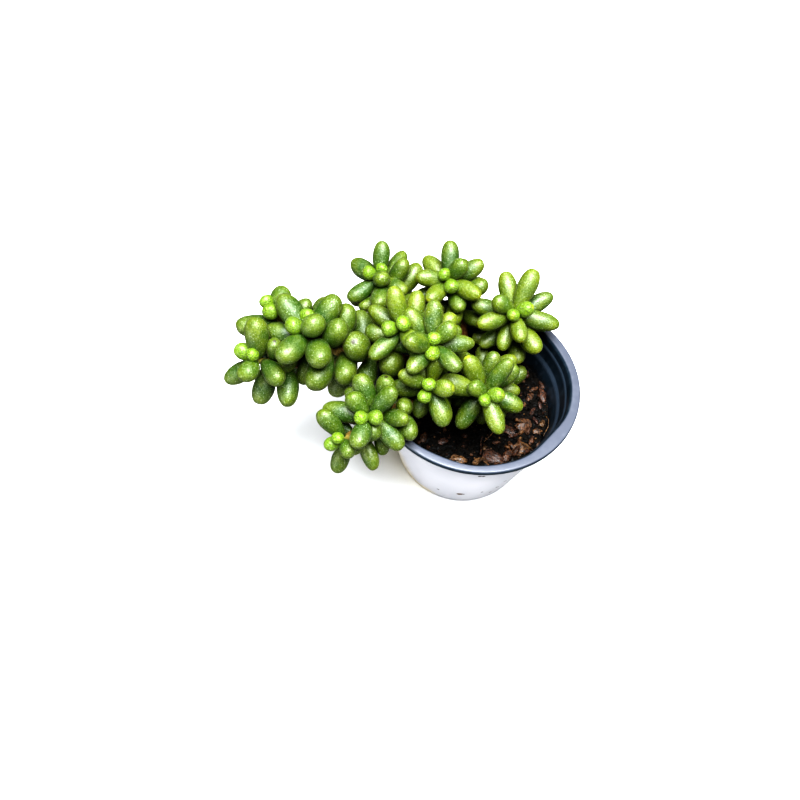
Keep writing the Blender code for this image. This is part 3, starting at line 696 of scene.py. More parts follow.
class Finish(Recipe):
    """A material: the shader's own numbers are set once, its patterns are linked."""

    def __init__(self, name, **numbers):
        self.material = bpy.data.materials.new(name)
        self.material.use_nodes = True
        super().__init__(self.material.node_tree)
        self.shader = self.tree.nodes["Principled BSDF"]
        for title, value in numbers.items():
            socket = self.shader.inputs[title.replace("_", " ")]
            socket.default_value = colour(value) if socket.type == "RGBA" else value
        self.place = self.add("ShaderNodeTexCoord").outputs["Object"]

    def own(self, name):
        return self.add("ShaderNodeAttribute", attribute_name=name).outputs["Fac"]

    def stretched(self, *factors):
        return self.vector("MULTIPLY", self.place, factors)

    def shifted(self, *offset):
        return self.vector("ADD", self.place, offset)

    def marks(self, tree, **values):
        """A shared effect with this material's own values."""
        made = self.add("ShaderNodeGroup", node_tree=tree)
        for title, value in values.items():
            self.feed(made.inputs[title], value)
        return made.outputs

    def speckle(self, where, cell, dot, share):
        made = self.marks(SPECKLE, Vector=where, Cell=cell, Dot=dot, Share=share)
        return made["Mask"], made["Dome"]

    def mottle(self, where, size, detail=2.0, low=0.35, high=0.65):
        made = self.marks(MOTTLE, Vector=where, Size=size, Detail=detail, Low=low, High=high)
        return made["Mask"]

    def spot(self, centre, radius):
        return self.marks(SPOT, Vector=self.place, Centre=centre, Radius=radius)["Mask"]

    def cover(self, **links):
        for title, value in links.items():
            self.feed(self.shader.inputs[title.replace("_", " ")], value)

    def bump(self, height, depth):
        made = self.add("ShaderNodeBump", {"Strength": 1.0, "Distance": depth, "Height": height})
        self.feed(self.shader.inputs["Normal"], made.outputs["Normal"])


def leaf_skin():
    """Green patches under a granular bloom with painted glints, paler towards the leaf's tip and
    when young.
    """
    f = Finish("leaf skin", IOR=1.38, Specular_Tint=(0.90, 0.96, 1.0), Coat_IOR=1.60,
               Coat_Roughness=0.46, Sheen_Weight=0.12, Sheen_Roughness=0.16,
               Sheen_Tint=(1.0, 0.80, 0.55), Subsurface_Weight=0.08,
               Subsurface_Radius=(0.6, 1.0, 0.12), Subsurface_Scale=1.4 * MM)
    age = f.own("age")
    along = f.own("along")
    tone = f.own("tone")
    young = f.ease(age, 2.4, 0.4)
    patches = f.mottle(f.place, 5 * MM, detail=3.0, high=0.7)
    skin = f.mix(patches, LEAF_DEEP, LEAF_OLIVE)
    # Through each group's tone range, these two mixes also paint shade on the a and g groups and
    # light on d, e and f
    skin = f.mix(f.ease(tone, 0.55, 1.0, 0.5), skin, LEAF_YELLOWISH)
    skin = f.mix(f.ease(tone, 0.40, 0.0, 0.5), skin, LEAF_DARK)
    skin = f.mix(f.ease(age, 9.0, 22.0, 0.45), skin, LEAF_OLD)
    skin = f.mix(f.ease(along, 0.50, 1.0, 0.36), skin, LEAF_UPPER_HALF)
    skin = f.mix(young, skin, LEAF_YOUNG)
    dots, domes = f.speckle(f.place, 0.60 * MM, dot=0.50, share=0.65)
    skin = f.over(skin, dots, 0.38, LEAF_DOT)
    pits, _ = f.speckle(f.shifted(0.31, 0.17, 0.23), 0.62 * MM, dot=0.55, share=0.70)
    skin = f.over(skin, pits, f.math("MULTIPLY_ADD", young, -0.22, 0.40), LEAF_PIT)
    # Painted glints: sparse pale dots that stand in for glints on the papillae
    painted_glints, _ = f.speckle(f.shifted(0.13, 0.41, 0.07), 0.9 * MM, dot=0.26, share=0.45)
    skin = f.over(skin, painted_glints, 0.50, LEAF_PAINTED_GLINT)
    skin = f.over(skin, f.ease(along, 0.970, 1.0, 0.5), f.ease(tone, 0.60, 0.80), LEAF_TIP)
    skin = f.over(skin, f.ease(along, 0.993, 0.999), f.own("scar"), LEAF_SCAR)
    fine = f.mottle(f.place, 0.5 * MM, detail=1.0, low=0.3, high=0.7)
    rise = f.plus(domes, f.times(fine, 0.5))
    f.bump(f.times(rise, f.plus(1.0, f.times(young, 1.5))), 0.15 * MM)
    wet = f.mottle(f.place, 9 * MM, detail=1.0, low=0.30, high=0.60)
    coat = f.times(f.math("MULTIPLY_ADD", wet, 0.40, 0.58), f.math("MULTIPLY_ADD", pits, -0.65, 1.0))
    f.cover(Base_Color=skin, Roughness=f.plus(0.36, f.times(fine, 0.14)), Coat_Weight=coat)
    return f.material


def stem_bark():
    """Brown skin, green where it is fresh, with rings where old leaves fell."""
    f = Finish("stem bark", Specular_IOR_Level=0.35)
    grain = f.mottle(f.stretched(1.0, 1.0, 0.35), 1.2 * MM, detail=3.0)
    skin = f.mix(grain, STEM_BROWN, STEM_TAN)
    skin = f.over(skin, f.own("fresh"), 0.75, STEM_FRESH)
    wave = f.math("SINE", f.times(f.own("run"), math.tau / (2.6 * MM)))
    scars = f.ease(f.plus(wave, grain), 1.1, 1.7)
    skin = f.over(skin, scars, 0.5, STEM_SCAR)
    f.bump(f.minus(grain, scars), 0.12 * MM)
    f.cover(Base_Color=skin, Roughness=f.plus(0.5, f.times(grain, 0.25)))
    return f.material


def white_glaze():
    """Smooth white plastic with faint smears, dust, specks and a yellow band low on its left side.
    """
    f = Finish("white glaze", IOR=1.48, Coat_Roughness=0.25, Coat_Weight=0.1)
    cloud = f.mottle(f.place, 22 * MM, detail=3.0, low=0.3, high=0.75)
    skin = f.mix(cloud, GLAZE_SHADE, GLAZE_WHITE)
    smears = f.mottle(f.stretched(1.0, 1.0, 3.0), 7 * MM, detail=4.0, low=0.58, high=0.75)
    skin = f.over(skin, smears, 0.06, GLAZE_SMEAR)
    dust, _ = f.speckle(f.place, 3.5 * MM, dot=0.07, share=0.12)
    skin = f.over(skin, dust, 0.7, GLAZE_DUST)
    # A yellow band low on the left side, narrowing upwards
    outward = f.vector("NORMALIZE", f.stretched(1.0, 1.0, 0.0))
    around = f.vector("DOT_PRODUCT", outward, YELLOW_BAND_WAY)
    height = f.plus(f.parts(f.place)["Z"], f.times(cloud, 8 * MM))
    side = f.ease(f.minus(around, f.divided(height, YELLOW_BAND_FADE)), 0.76, 0.92, 0.45)
    low = f.ease(height, YELLOW_BAND_FOOT, YELLOW_BAND_FOOT - YELLOW_BAND_SOFT)
    foot = f.times(f.ease(around, 0.58, 0.80, 0.8), low)
    skin = f.mix(f.math("MAXIMUM", side, foot), skin, YELLOW_BAND)
    for x, y, z, radius, mark in POT_MARKS:
        skin = f.mix(f.spot((x * MM, y * MM, z * MM), radius * MM), skin, mark)
    f.bump(f.mottle(f.place, 4 * MM, detail=1.0, low=0.2, high=0.8), 0.02 * MM)
    f.cover(Base_Color=skin, Roughness=f.plus(0.38, f.times(cloud, 0.10)))
    return f.material


def dark_plastic():
    """Thin dark plastic with painted highlights on its ledges, lighter on its flange's top and
    silted near the soil.
    """
    f = Finish("dark plastic", IOR=1.5)
    height = f.parts(f.place)["Z"]
    skin = f.mix(f.mottle(f.place, 12 * MM, detail=3.0), PLASTIC_DARK, PLASTIC_PALE)
    film = f.mottle(f.stretched(1.0, 1.0, 0.4), 3 * MM, detail=4.0, low=0.45, high=0.8)
    skin = f.over(skin, film, 0.22, PLASTIC_FILM)
    # Painted highlights along the two ledges, where light would catch the steps' edges
    for low, high in LEDGES:
        over_low = f.ease(height, low - 0.5 * MM, low)
        ledge_highlight = f.times(over_low, f.ease(height, high + 0.3 * MM, high))
        skin = f.over(skin, ledge_highlight, 0.70, PLASTIC_LEDGE_HIGHLIGHT)
    # Lighter colour on the flange's top face
    rim_top = f.ease(height, RIM_HEIGHT - 0.5 * MM, RIM_HEIGHT - 0.05 * MM)
    skin = f.over(skin, rim_top, 0.88, PLASTIC_RIM_TOP)
    silt = f.mottle(f.place, 2.2 * MM, detail=3.0, high=0.6)
    low = f.ease(height, SOIL_HEIGHT + 5 * MM, SOIL_HEIGHT + 0.5 * MM)
    skin = f.over(skin, f.times(low, silt), 0.65, PLASTIC_SILT)
    f.bump(f.mottle(f.place, 0.7 * MM, low=0.3, high=0.7), 0.012 * MM)
    f.cover(Base_Color=skin, Roughness=f.plus(0.30, f.times(film, 0.20)))
    return f.material


def soil_earth():
    """Damp black earth with redder crumbs and a few pale bits."""
    f = Finish("soil earth", Specular_IOR_Level=0.25)
    clods = f.mottle(f.place, 2.5 * MM, detail=5.0)
    skin = f.mix(clods, EARTH_BLACK, EARTH_BROWN)
    skin = f.mix(f.ease(f.own("tone"), 0.75, 1.0, 0.8), skin, EARTH_CRUMB)
    bits, _ = f.speckle(f.place, 1.6 * MM, dot=0.22, share=0.10)
    skin = f.over(skin, bits, 0.6, EARTH_BIT)
    f.bump(clods, 0.5 * MM)
    f.cover(Base_Color=skin, Roughness=f.plus(0.50, f.times(clods, 0.35)))
    return f.material


def bark_wood():
    """Fibrous bark from red-brown to tan, dull where grime lies on it."""
    f = Finish("bark wood", Coat_Roughness=0.25)
    tone = f.own("tone")
    fibre = f.mottle(f.place, 0.9 * MM, detail=4.0)
    skin = f.mix(fibre, f.mix(tone, *BARK_DARK), f.mix(tone, *BARK_PALE))
    grime = f.mottle(f.place, 2.4 * MM, detail=3.0, low=0.5, high=0.7)
    skin = f.over(skin, grime, 0.7, BARK_GRIME)
    f.bump(fibre, 0.25 * MM)
    f.cover(Base_Color=skin, Roughness=f.plus(0.42, f.times(fibre, 0.25)),
            Coat_Weight=f.times(f.minus(1.0, grime), 0.22))
    return f.material


def floor_paper():
    f = Finish("floor paper", Roughness=0.9)
    f.cover(Base_Color=f.mix(f.mottle(f.place, 40 * MM, detail=3.0), PAPER_SHADE, PAPER_WHITE))
    return f.material


# Geometry recipes

class Shape(Recipe):
    """A geometry tree with named inputs, worked out on the geometry that it is given."""

    def __init__(self, name, **inputs):
        super().__init__(bpy.data.node_groups.new(name, "GeometryNodeTree"))
        for title, kind in {"Geometry": "Geometry", **inputs}.items():
            self.tree.interface.new_socket(title, in_out="INPUT", socket_type="NodeSocket" + kind)
        self.tree.interface.new_socket("Geometry", in_out="OUTPUT",
                                       socket_type="NodeSocketGeometry")
        self.given = self.tree.nodes.new("NodeGroupInput").outputs
        self.out = self.tree.nodes.new("NodeGroupOutput").inputs

    def own(self, name, kind="FLOAT"):
        made = self.add("GeometryNodeInputNamedAttribute", {"Name": name}, data_type=kind)
        return made.outputs["Attribute"]

    def store(self, geometry, name, value):
        given = {"Geometry": geometry, "Name": name, "Value": value}
        made = self.add("GeometryNodeStoreNamedAttribute", given, data_type="FLOAT", domain="POINT")
        return made.outputs["Geometry"]

    def here(self):
        return self.add("GeometryNodeInputPosition").outputs[0]

    def normal(self):
        return self.add("GeometryNodeInputNormal").outputs[0]

    def uneven(self, scale, depth, detail=2.0):
        """A number between minus and plus half the depth that changes over the geometry."""
        return self.times(self.minus(self.cloud(self.here(), scale, detail), 0.5), depth)

    def moved(self, geometry, offset):
        made = self.add("GeometryNodeSetPosition", {"Geometry": geometry, "Offset": offset})
        return made.outputs["Geometry"]

    def copied(self, points, instance, scale, turn):
        """A real copy of one shape at every point."""
        made = self.add("GeometryNodeInstanceOnPoints", {
            "Points": points, "Instance": instance, "Rotation": turn, "Scale": scale})
        return self.real(made.outputs["Instances"])

    def real(self, geometry):
        return self.add("GeometryNodeRealizeInstances", {"Geometry": geometry}).outputs["Geometry"]

    def end(self, shape):
        """Every recipe ends here: real geometry, shaded smooth, with its material."""
        smooth = self.add("GeometryNodeSetShadeSmooth", {"Geometry": self.real(shape)})
        dressed = self.add("GeometryNodeSetMaterial", {
            "Geometry": smooth.outputs["Geometry"], "Material": self.given["Skin"]})
        self.feed(self.out["Geometry"], dressed.outputs["Geometry"])
        return self.tree


def bean_leaves():
    """A plump bean at every point, drawn out along the point's own way."""
    r = Shape("bean leaves", Sides="Int", Rings="Int", Skew="Float", Blunt="Float",
              Flatness="Float", Curl="Float", Dents="Float", Skin="Material")
    given = r.given
    ball = r.add("GeometryNodeMeshUVSphere", {"Segments": given["Sides"], "Rings": given["Rings"]})
    spot = r.parts(r.here())
    t = r.math("MULTIPLY_ADD", spot["Z"], 0.5, 0.5, clamp=True)
    bow = r.math("SINE", r.times(r.math("POWER", t, given["Skew"]), math.pi))
    girth = r.math("POWER", r.math("MAXIMUM", bow, 0.0), given["Blunt"])
    turn = r.math("ARCTAN2", spot["Y"], spot["X"])
    x = r.times(r.math("COSINE", turn), girth)
    y = r.times(r.times(r.math("SINE", turn), girth), given["Flatness"])
    bean = r.add("GeometryNodeSetPosition", {
        "Geometry": r.store(ball.outputs["Mesh"], "along", t), "Position": r.joined(x, y, t)})
    way = r.own("way", "FLOAT_VECTOR")
    side = r.own("side", "FLOAT_VECTOR")
    length = r.own("length")
    half = r.times(r.own("width"), 0.5)
    facing = r.add("FunctionNodeAxesToRotation", {0: way, 1: side}, primary_axis="Z",
                   secondary_axis="Y").outputs[0]
    size = r.joined(half, half, length)
    leaves = r.copied(given["Geometry"], bean.outputs["Geometry"], size, facing)
    # Each leaf bends towards the stem's tip, bulges its own way and gets a few soft dents
    along = r.own("along")
    spine = r.vector("ADD", r.own("foot", "FLOAT_VECTOR"), r.scaled(way, r.times(along, length)))
    bulge = r.times(r.own("bulge"), r.minus(along, 0.55))
    bend = r.times(r.times(length, given["Curl"]), r.math("POWER", along, 2.0))
    dent = r.uneven(1.0 / LEAF_DENT_SIZE, given["Dents"], detail=1.0)
    dent = r.times(dent, r.ease(along, 0.0, 0.3))
    move = r.scaled(r.vector("SUBTRACT", r.here(), spine), bulge)
    move = r.vector("ADD", move, r.scaled(side, bend))
    move = r.vector("ADD", move, r.scaled(r.normal(), dent))
    return r.end(r.moved(leaves, move))


def round_stems():
    """A knobbly tube along every line of points, as thick as each point's own number."""
    r = Shape("round stems", Sides="Int", Knobs="Float", Size="Float", Skin="Material")
    line = r.add("GeometryNodeMeshToCurve", {"Mesh": r.given["Geometry"]}).outputs["Curve"]
    line = r.add("GeometryNodeSetCurveRadius", {"Curve": line, "Radius": r.own("thick")})
    ring = r.add("GeometryNodeCurvePrimitiveCircle", {
        "Resolution": r.given["Sides"], "Radius": 1.0})
    tube = r.add("GeometryNodeCurveToMesh", {
        "Curve": line.outputs["Curve"], "Profile Curve": ring.outputs["Curve"],
        "Fill Caps": True})
    if "Scale" in tube.inputs:
        r.feed(tube.inputs["Scale"], r.own("thick"))
    swell = r.uneven(r.divided(1.0, r.given["Size"]), r.given["Knobs"])
    return r.end(r.moved(tube.outputs["Mesh"], r.scaled(r.normal(), swell)))


def soil_crumbs():
    """Broken crumbs scattered over the upward faces, most of them small."""
    r = Shape("soil crumbs", Density="Float", Smallest="Float", Largest="Float", Seed="Int",
              Skin="Material")
    given = r.given

    def chance(step, low=None, high=None):
        """A random number, or a random vector between two, for each crumb."""
        seed = r.plus(given["Seed"], step) if step else given["Seed"]
        if low is None:
            return r.add("FunctionNodeRandomValue", {"Seed": seed}, data_type="FLOAT").outputs[1]
        return r.add("FunctionNodeRandomValue", {0: low, 1: high, "Seed": seed},
                     data_type="FLOAT_VECTOR").outputs[0]

    upward = r.math("GREATER_THAN", r.parts(r.normal())["Z"], 0.4)
    spread = r.add("GeometryNodeDistributePointsOnFaces", {
        "Mesh": given["Geometry"], "Selection": upward, "Density": given["Density"],
        "Seed": given["Seed"]}).outputs["Points"]
    more = r.minus(given["Largest"], given["Smallest"])
    size = r.math("MULTIPLY_ADD", r.math("POWER", chance(0), 4.0), more, given["Smallest"])
    turn = chance(1.0, (0.0, 0.0, 0.0), (math.tau, math.tau, math.tau))
    stretch = chance(2.0, (0.7, 0.6, 0.5), (1.3, 1.1, 0.9))
    pebble = r.add("GeometryNodeMeshIcoSphere", {"Radius": 0.5, "Subdivisions": 1})
    crumbs = r.copied(r.store(spread, "tone", chance(3.0)), pebble.outputs["Mesh"],
                      r.scaled(stretch, size), turn)
    push = r.scaled(r.normal(), r.uneven(1.0 / CRUMB_LUMP, CRUMB_DEPTH))
    return r.end(r.moved(crumbs, push))


def placed(name, data):
    """A new object in the scene."""
    made = bpy.data.objects.new(name, data)
    bpy.context.scene.collection.objects.link(made)
    return made


def bake(thing):
    """Gives an object its evaluated mesh and drops its modifiers."""
    graph = bpy.context.evaluated_depsgraph_get()
    mesh = bpy.data.meshes.new_from_object(
        thing.evaluated_get(graph), preserve_all_data_layers=True, depsgraph=graph)
    thing.modifiers.clear()
    thing.data = mesh


def grown(name, source, tree, values):
    """Runs a geometry recipe on a mesh and keeps the result as a plain mesh."""
    made = placed(name, source)
    change = made.modifiers.new("recipe", "NODES")
    change.node_group = tree
    for socket in tree.interface.items_tree:
        if socket.in_out == "INPUT" and socket.name in values:
            change[socket.identifier] = values[socket.name]
    bake(made)
    return made


def give(mesh, name, values, kind="FLOAT"):
    """Stores one number, or one vector, for each point of a mesh."""
    field = mesh.attributes.new(name, kind, "POINT").data
    flat = np.array(values, dtype=np.float32).ravel()
    field.foreach_set("vector" if kind == "FLOAT_VECTOR" else "value", flat)


def piece(made, slot, *nodes):
    """Attaches a finished piece to the plant's one body, so that it rides with it, and hides the
    nodes that it stands in for.
    """
    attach(made, "root")
    if nodes:
        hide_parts(*nodes)
    return made


# Leafy stems

def make_leaves(group, leaves, tree, skin, rng):
    mesh = bpy.data.meshes.new("points")
    mesh.from_pydata([tuple(leaf.base) for leaf in leaves], [], [])
    side = [unit(leaf.stem_way - leaf.way * float(leaf.stem_way @ leaf.way)) for leaf in leaves]
    give(mesh, "foot", [leaf.base for leaf in leaves], "FLOAT_VECTOR")
    give(mesh, "way", [leaf.way for leaf in leaves], "FLOAT_VECTOR")
    give(mesh, "side", side, "FLOAT_VECTOR")
    for size in ("length", "width", "age"):
        give(mesh, size, [getattr(leaf, size) for leaf in leaves])
    # The group's range paints shade on the a and g groups and light on d, e and f, round the random
    # tone
    low, high = LEAF_TONES_AND_PAINTED_LIGHT[group]
    give(mesh, "tone", low + (high - low) * rng.random(len(leaves)))
    give(mesh, "bulge", rng.normal(0.0, LEAF_BULGE, len(leaves)))
    grown_up = np.array([leaf.age > 3 for leaf in leaves])
    give(mesh, "scar", (rng.random(len(leaves)) < SCARRED_SHARE) & grown_up)
    made = grown("leaves_" + group, mesh, tree, {
        "Sides": LEAF_SIDES, "Rings": LEAF_RINGS, "Skew": LEAF_SKEW, "Blunt": LEAF_BLUNT,
        "Flatness": LEAF_FLATNESS, "Curl": LEAF_CURL, "Dents": LEAF_DENTS, "Skin": skin})
    return piece(made, "leaf", "leafy_stem_" + group)


def line_mesh(lines):
    """Lines of points, each with its thickness, its run from the root and how fresh it is."""
    points = []
    edges = []
    own = {"thick": [], "run": [], "fresh": []}
    for places, radii, young in lines:
        first = len(points)
        points += [tuple(p) for p in places]
        edges += [(first + k, first + k + 1) for k in range(len(places) - 1)]
        steps = np.linalg.norm(np.diff(np.array(places), axis=0), axis=1)
        own["run"] += [0.0] + list(np.cumsum(steps))
        own["thick"] += list(radii)
        own["fresh"] += list(young)
    mesh = bpy.data.meshes.new("lines")
    mesh.from_pydata(points, edges, [])
    for name, values in own.items():
        give(mesh, name, values)
    return mesh


def make_stem(group, tree, bark):
    lines = []
    for shoot in SHOOTS:
        if shoot.group == group:
            total = shoot.line[-1, 3]
            share = np.linspace(0.0, 1.0, STEM_POINTS)
            places = [at(shoot.line, s * total) for s in share]
            radii = STEM_RADIUS * np.minimum(1.0, STEM_TIP + STEM_TAPER * (1.0 - share))
            lines.append((places, radii, share ** 3))
    made = grown("stem_" + group, line_mesh(lines), tree, {
        "Sides": STEM_SIDES, "Knobs": STEM_KNOBS, "Size": STEM_KNOB_SIZE, "Skin": bark})
    return piece(made, "leaf", "leafy_stem_" + group)


# Pots

def turned(name, profile, finish, steps):
    """Turns a profile of radius and height about Z. It starts and ends on the axis."""
    mesh = bpy.data.meshes.new(name)
    edges = [(k, k + 1) for k in range(len(profile) - 1)]
    mesh.from_pydata([(radius, 0.0, height) for radius, height in profile], edges, [])
    made = placed(name, mesh)
    screw = made.modifiers.new("turn", "SCREW")
    screw.angle = math.tau
    screw.steps = steps
    screw.render_steps = steps
    screw.use_merge_vertices = True
    screw.merge_threshold = 0.001 * MM
    screw.use_smooth_shade = True
    bake(made)
    made.data.materials.append(finish)
    return made


def arc(centre, radius, start, stop, count):
    """Points of radius and height on a round corner, angles in degrees."""
    angles = np.radians(np.linspace(start, stop, count))
    return [(centre[0] + radius * math.cos(a), centre[1] + radius * math.sin(a)) for a in angles]


def rounded(profile, size):
    """Rounds the inner corners of a profile with short curves."""
    soft = [profile[0]]
    for before, corner, after in zip(profile, profile[1:], profile[2:]):
        a, b, c = np.array(before), np.array(corner), np.array(after)
        cut_in = min(size, 0.4 * np.linalg.norm(a - b), 0.4 * np.linalg.norm(c - b))
        start = b + unit(a - b) * cut_in
        stop = b + unit(c - b) * cut_in
        for t in (0.0, 0.33, 0.67, 1.0):
            soft.append(tuple((1 - t) ** 2 * start + 2 * t * (1 - t) * b + t * t * stop))
    return soft + [profile[-1]]


def shade(thing, angle=35):
    thing.data.shade_smooth()
    thing.data.set_sharp_from_angle(angle=math.radians(angle))


def ramp(value):
    """The value, kept between 0 and 1."""
    return min(1.0, max(0.0, value))


def make_cover_pot(finish):
    """The smooth white outer pot: straight sides, rounded foot, flat bottom."""
    slope = (COVER_TOP_RADIUS - COVER_FOOT_RADIUS) / RIM_HEIGHT
    top = RIM_HEIGHT - FLANGE_THICKNESS - SEAT_GAP
    outer_top = COVER_FOOT_RADIUS + slope * top
    corner = (COVER_FOOT_RADIUS + slope * FOOT_ROUNDING - FOOT_ROUNDING, FOOT_ROUNDING)
    inner_corner = (corner[0], COVER_FLOOR + FOOT_ROUNDING - COVER_WALL)
    lip = (outer_top - COVER_WALL / 2, top - COVER_WALL / 2)
    profile = [(0.0, COVER_FLOOR)]
    profile += arc(inner_corner, FOOT_ROUNDING - COVER_WALL, -90, -10, 10)
    profile += arc(lip, COVER_WALL / 2, 180, 0, 7)
    profile += arc(corner, FOOT_ROUNDING, -10, -90, 14)
    profile += [(0.0, 0.0)]
    made = turned("white_cover_pot", profile, finish, TURN_STEPS)
    shade(made)
    return piece(made, "white_pot", "cover_pot")


def inner_radius(height):
    """The nursery pot's inside radius at a height."""
    heights = [step[1] for step in reversed(INNER_STEPS)]
    radii = [step[0] for step in reversed(INNER_STEPS)]
    return float(np.interp(height, heights, radii))


def nursery_profile():
    """Down the axis, up the stepped inside, over the flange and down the outside."""
    under = RIM_HEIGHT - FLANGE_THICKNESS
    lip_inside = FLANGE_RADIUS - LIP_THICKNESS
    inner = [(0.0, NURSERY_FLOOR + NURSERY_WALL)] + list(reversed(INNER_STEPS))
    rim = [
        (FLANGE_RADIUS - FLANGE_BEVEL, RIM_HEIGHT),
        (FLANGE_RADIUS, RIM_HEIGHT - FLANGE_BEVEL),
        (FLANGE_RADIUS, RIM_HEIGHT - LIP_DROP),
        (lip_inside, RIM_HEIGHT - LIP_DROP),
        (lip_inside, under),
        (INNER_STEPS[1][0] + NURSERY_WALL, under),
    ]
    outer = [(radius + NURSERY_WALL, height - STEP_DROP) for radius, height in INNER_STEPS[2:-1]]
    foot = [(NURSERY_FOOT_RADIUS + NURSERY_WALL, NURSERY_FLOOR), (0.0, NURSERY_FLOOR)]
    return rounded(inner + rim + outer + foot, STEP_ROUNDING)


def make_wavy(mesh):
    """Thin plastic never stays quite round: the wall's upper part wanders and has a dent."""
    for vert in mesh.vertices:
        turn = math.atan2(vert.co.y, vert.co.x)
        radius = math.hypot(vert.co.x, vert.co.y)
        share = ramp((vert.co.z - WAVE_FOOT) / WAVE_RISE)
        share *= ramp((WAVE_EDGE - radius) / WAVE_EDGE_FADE)
        spot = Vector((math.cos(turn) * WAVES_ROUND, math.sin(turn) * WAVES_ROUND,
                       vert.co.z / WAVE_LENGTH))
        away = (turn - DENT_TURN) / DENT_WIDTH
        push = share * (WAVE * noise.noise(spot) - DENT_DEPTH * math.exp(-away * away))
        vert.co.x += push * math.cos(turn)
        vert.co.y += push * math.sin(turn)


def cut_drains(made):
    drains = bpy.data.collections.new("drain cutters")
    bpy.context.scene.collection.children.link(drains)
    for k in range(DRAIN_HOLES):
        turn = math.tau * k / DRAIN_HOLES
        spot = (DRAIN_RING * math.cos(turn), DRAIN_RING * math.sin(turn),
                NURSERY_FLOOR + NURSERY_WALL)
        mesh = bpy.data.meshes.new("drain")
        bm = bmesh.new()
        bmesh.ops.create_cone(bm, cap_ends=True, segments=32, radius1=DRAIN_RADIUS,
                              radius2=DRAIN_RADIUS, depth=5 * MM, matrix=Matrix.Translation(spot))
        bm.to_mesh(mesh)
        bm.free()
        drains.objects.link(bpy.data.objects.new("drain", mesh))
    difference = made.modifiers.new("cut", "BOOLEAN")
    difference.operation = "DIFFERENCE"
    difference.operand_type = "COLLECTION"
    difference.collection = drains
    bake(made)
    for drain in list(drains.objects):
        bpy.data.objects.remove(drain)
    bpy.data.collections.remove(drains)


def make_nursery_pot(finish):
    """The thin stepped pot, hung by its flange on the cover pot's edge."""
    made = turned("dark_nursery_pot", nursery_profile(), finish, TURN_STEPS)
    make_wavy(made.data)
    cut_drains(made)
    shade(made)
    return piece(made, "dark_pot", "nursery_pot")


# Soil

def soil_rise(x, y):
    """Height of the bare soil: swells and hollows that fade out at the pot's wall."""
    reach = inner_radius(SOIL_HEIGHT) - SOIL_EDGE
    spot = Vector((x, y, 0.0)) / SOIL_GRAIN
    broad = noise.noise(spot)
    fine = noise.noise(spot * 2.7 + Vector((3.0, 7.0, 0.0)))
    fade = ramp((reach - math.hypot(x, y)) / SOIL_FADE)
    return SOIL_HEIGHT + SOIL_SWELL * (broad + 0.5 * fine) * fade


def make_soil(earth):
    """The same swells as the plain soil, broken up into clods."""
    floor = NURSERY_FLOOR + NURSERY_WALL + SEAT_GAP
    edge = inner_radius(SOIL_HEIGHT) - SOIL_CLEARANCE
    foot = inner_radius(floor) - SOIL_CLEARANCE
    rings = [(edge * k / SOIL_RINGS, SOIL_HEIGHT) for k in range(SOIL_RINGS + 1)]
    made = turned("soil_bed", rings + [(foot, floor), (0.0, floor)], earth, SOIL_STEPS)
    for vert in made.data.vertices:
        if vert.co.z > SOIL_HEIGHT - 0.1 * MM:
            x, y, _ = vert.co
            clod = noise.turbulence(Vector((x, y, 0.0)) / CLOD, 3, True)
            vert.co.z = soil_rise(x, y) + CLOD_HEIGHT * (clod - 0.6)
    give(made.data, "tone", np.full(len(made.data.vertices), 0.2))
    shade(made, 60)
    return piece(made, "soil", "soil")


def make_crumbs(name, soil, tree, grains, skin):
    per_mm2, smallest, largest, seed = grains
    made = grown(name, soil.data.copy(), tree, {
        "Density": per_mm2 / MM ** 2, "Smallest": smallest, "Largest": largest, "Seed": seed,
        "Skin": skin})
    return piece(made, "soil")


def bark_chip(bm, x, y, length, width, height, turn):
    """A flat flake, narrower at one end, with torn edges and a ridged top."""
    first = len(bm.verts)
    cube = bmesh.ops.create_cube(bm, size=1.0)["verts"]
    edges = list(dict.fromkeys(edge for vert in cube for edge in vert.link_edges))
    bmesh.ops.subdivide_edges(bm, edges=edges, cuts=CHIP_CUTS, use_grid_fill=True)
    along, across, thick = CHIP_BLOCK
    shape = Matrix.Diagonal((along * length, across * width, thick * height, 1.0))
    place = Matrix.Translation((x, y, soil_rise(x, y))) @ Matrix.Rotation(math.radians(turn), 4, "Z")
    tip = Matrix.Rotation(math.radians(CHIP_TILT), 4, "X")
    seed = Vector((x, y, 0.0)) / MM
    for vert in list(bm.verts)[first:]:
        co = vert.co
        ahead = 2.0 * co.x
        narrow = CHIP_NOSE if ahead > 0 else CHIP_TAIL
        co.y *= 1.0 - narrow * abs(ahead) ** CHIP_TAPER
        co.y += CHIP_BEND * noise.noise(seed + Vector((co.x * 2.4, 0.0, 5.0)))
        co.x *= 1.0 - CHIP_CORNERS * abs(2.0 * co.y) ** 2
        co.z *= 1.0 - CHIP_MIDDLE * min(1.0, 3.4 * (co.x * co.x + co.y * co.y))
        ridges = CHIP_RIDGES * noise.noise(seed + Vector((co.x * 1.5, co.y * 9.0, 1.0)))
        torn = [noise.noise(seed + co * 4.0 + Vector(shift)) for shift in RAGGED_SHIFTS]
        co += Vector(CHIP_RAGGED) * Vector(torn) + Vector((0.0, 0.0, ridges))
    bmesh.ops.transform(bm, matrix=place @ tip @ shape, verts=list(bm.verts)[first:])
    return len(bm.verts) - first


def make_chips(wood):
    bm = bmesh.new()
    tones = []
    for *sizes, turn, tone in BARK + SHARDS:
        tones += [tone] * bark_chip(bm, *(size * MM for size in sizes), turn)
    mesh = bpy.data.meshes.new("bark_chips")
    bmesh.ops.recalc_face_normals(bm, faces=bm.faces[:])
    bm.to_mesh(mesh)
    bm.free()
    give(mesh, "tone", tones)
    mesh.materials.append(wood)
    made = placed("bark_chips", mesh)
    shade(made, 50)
    return piece(made, "soil")


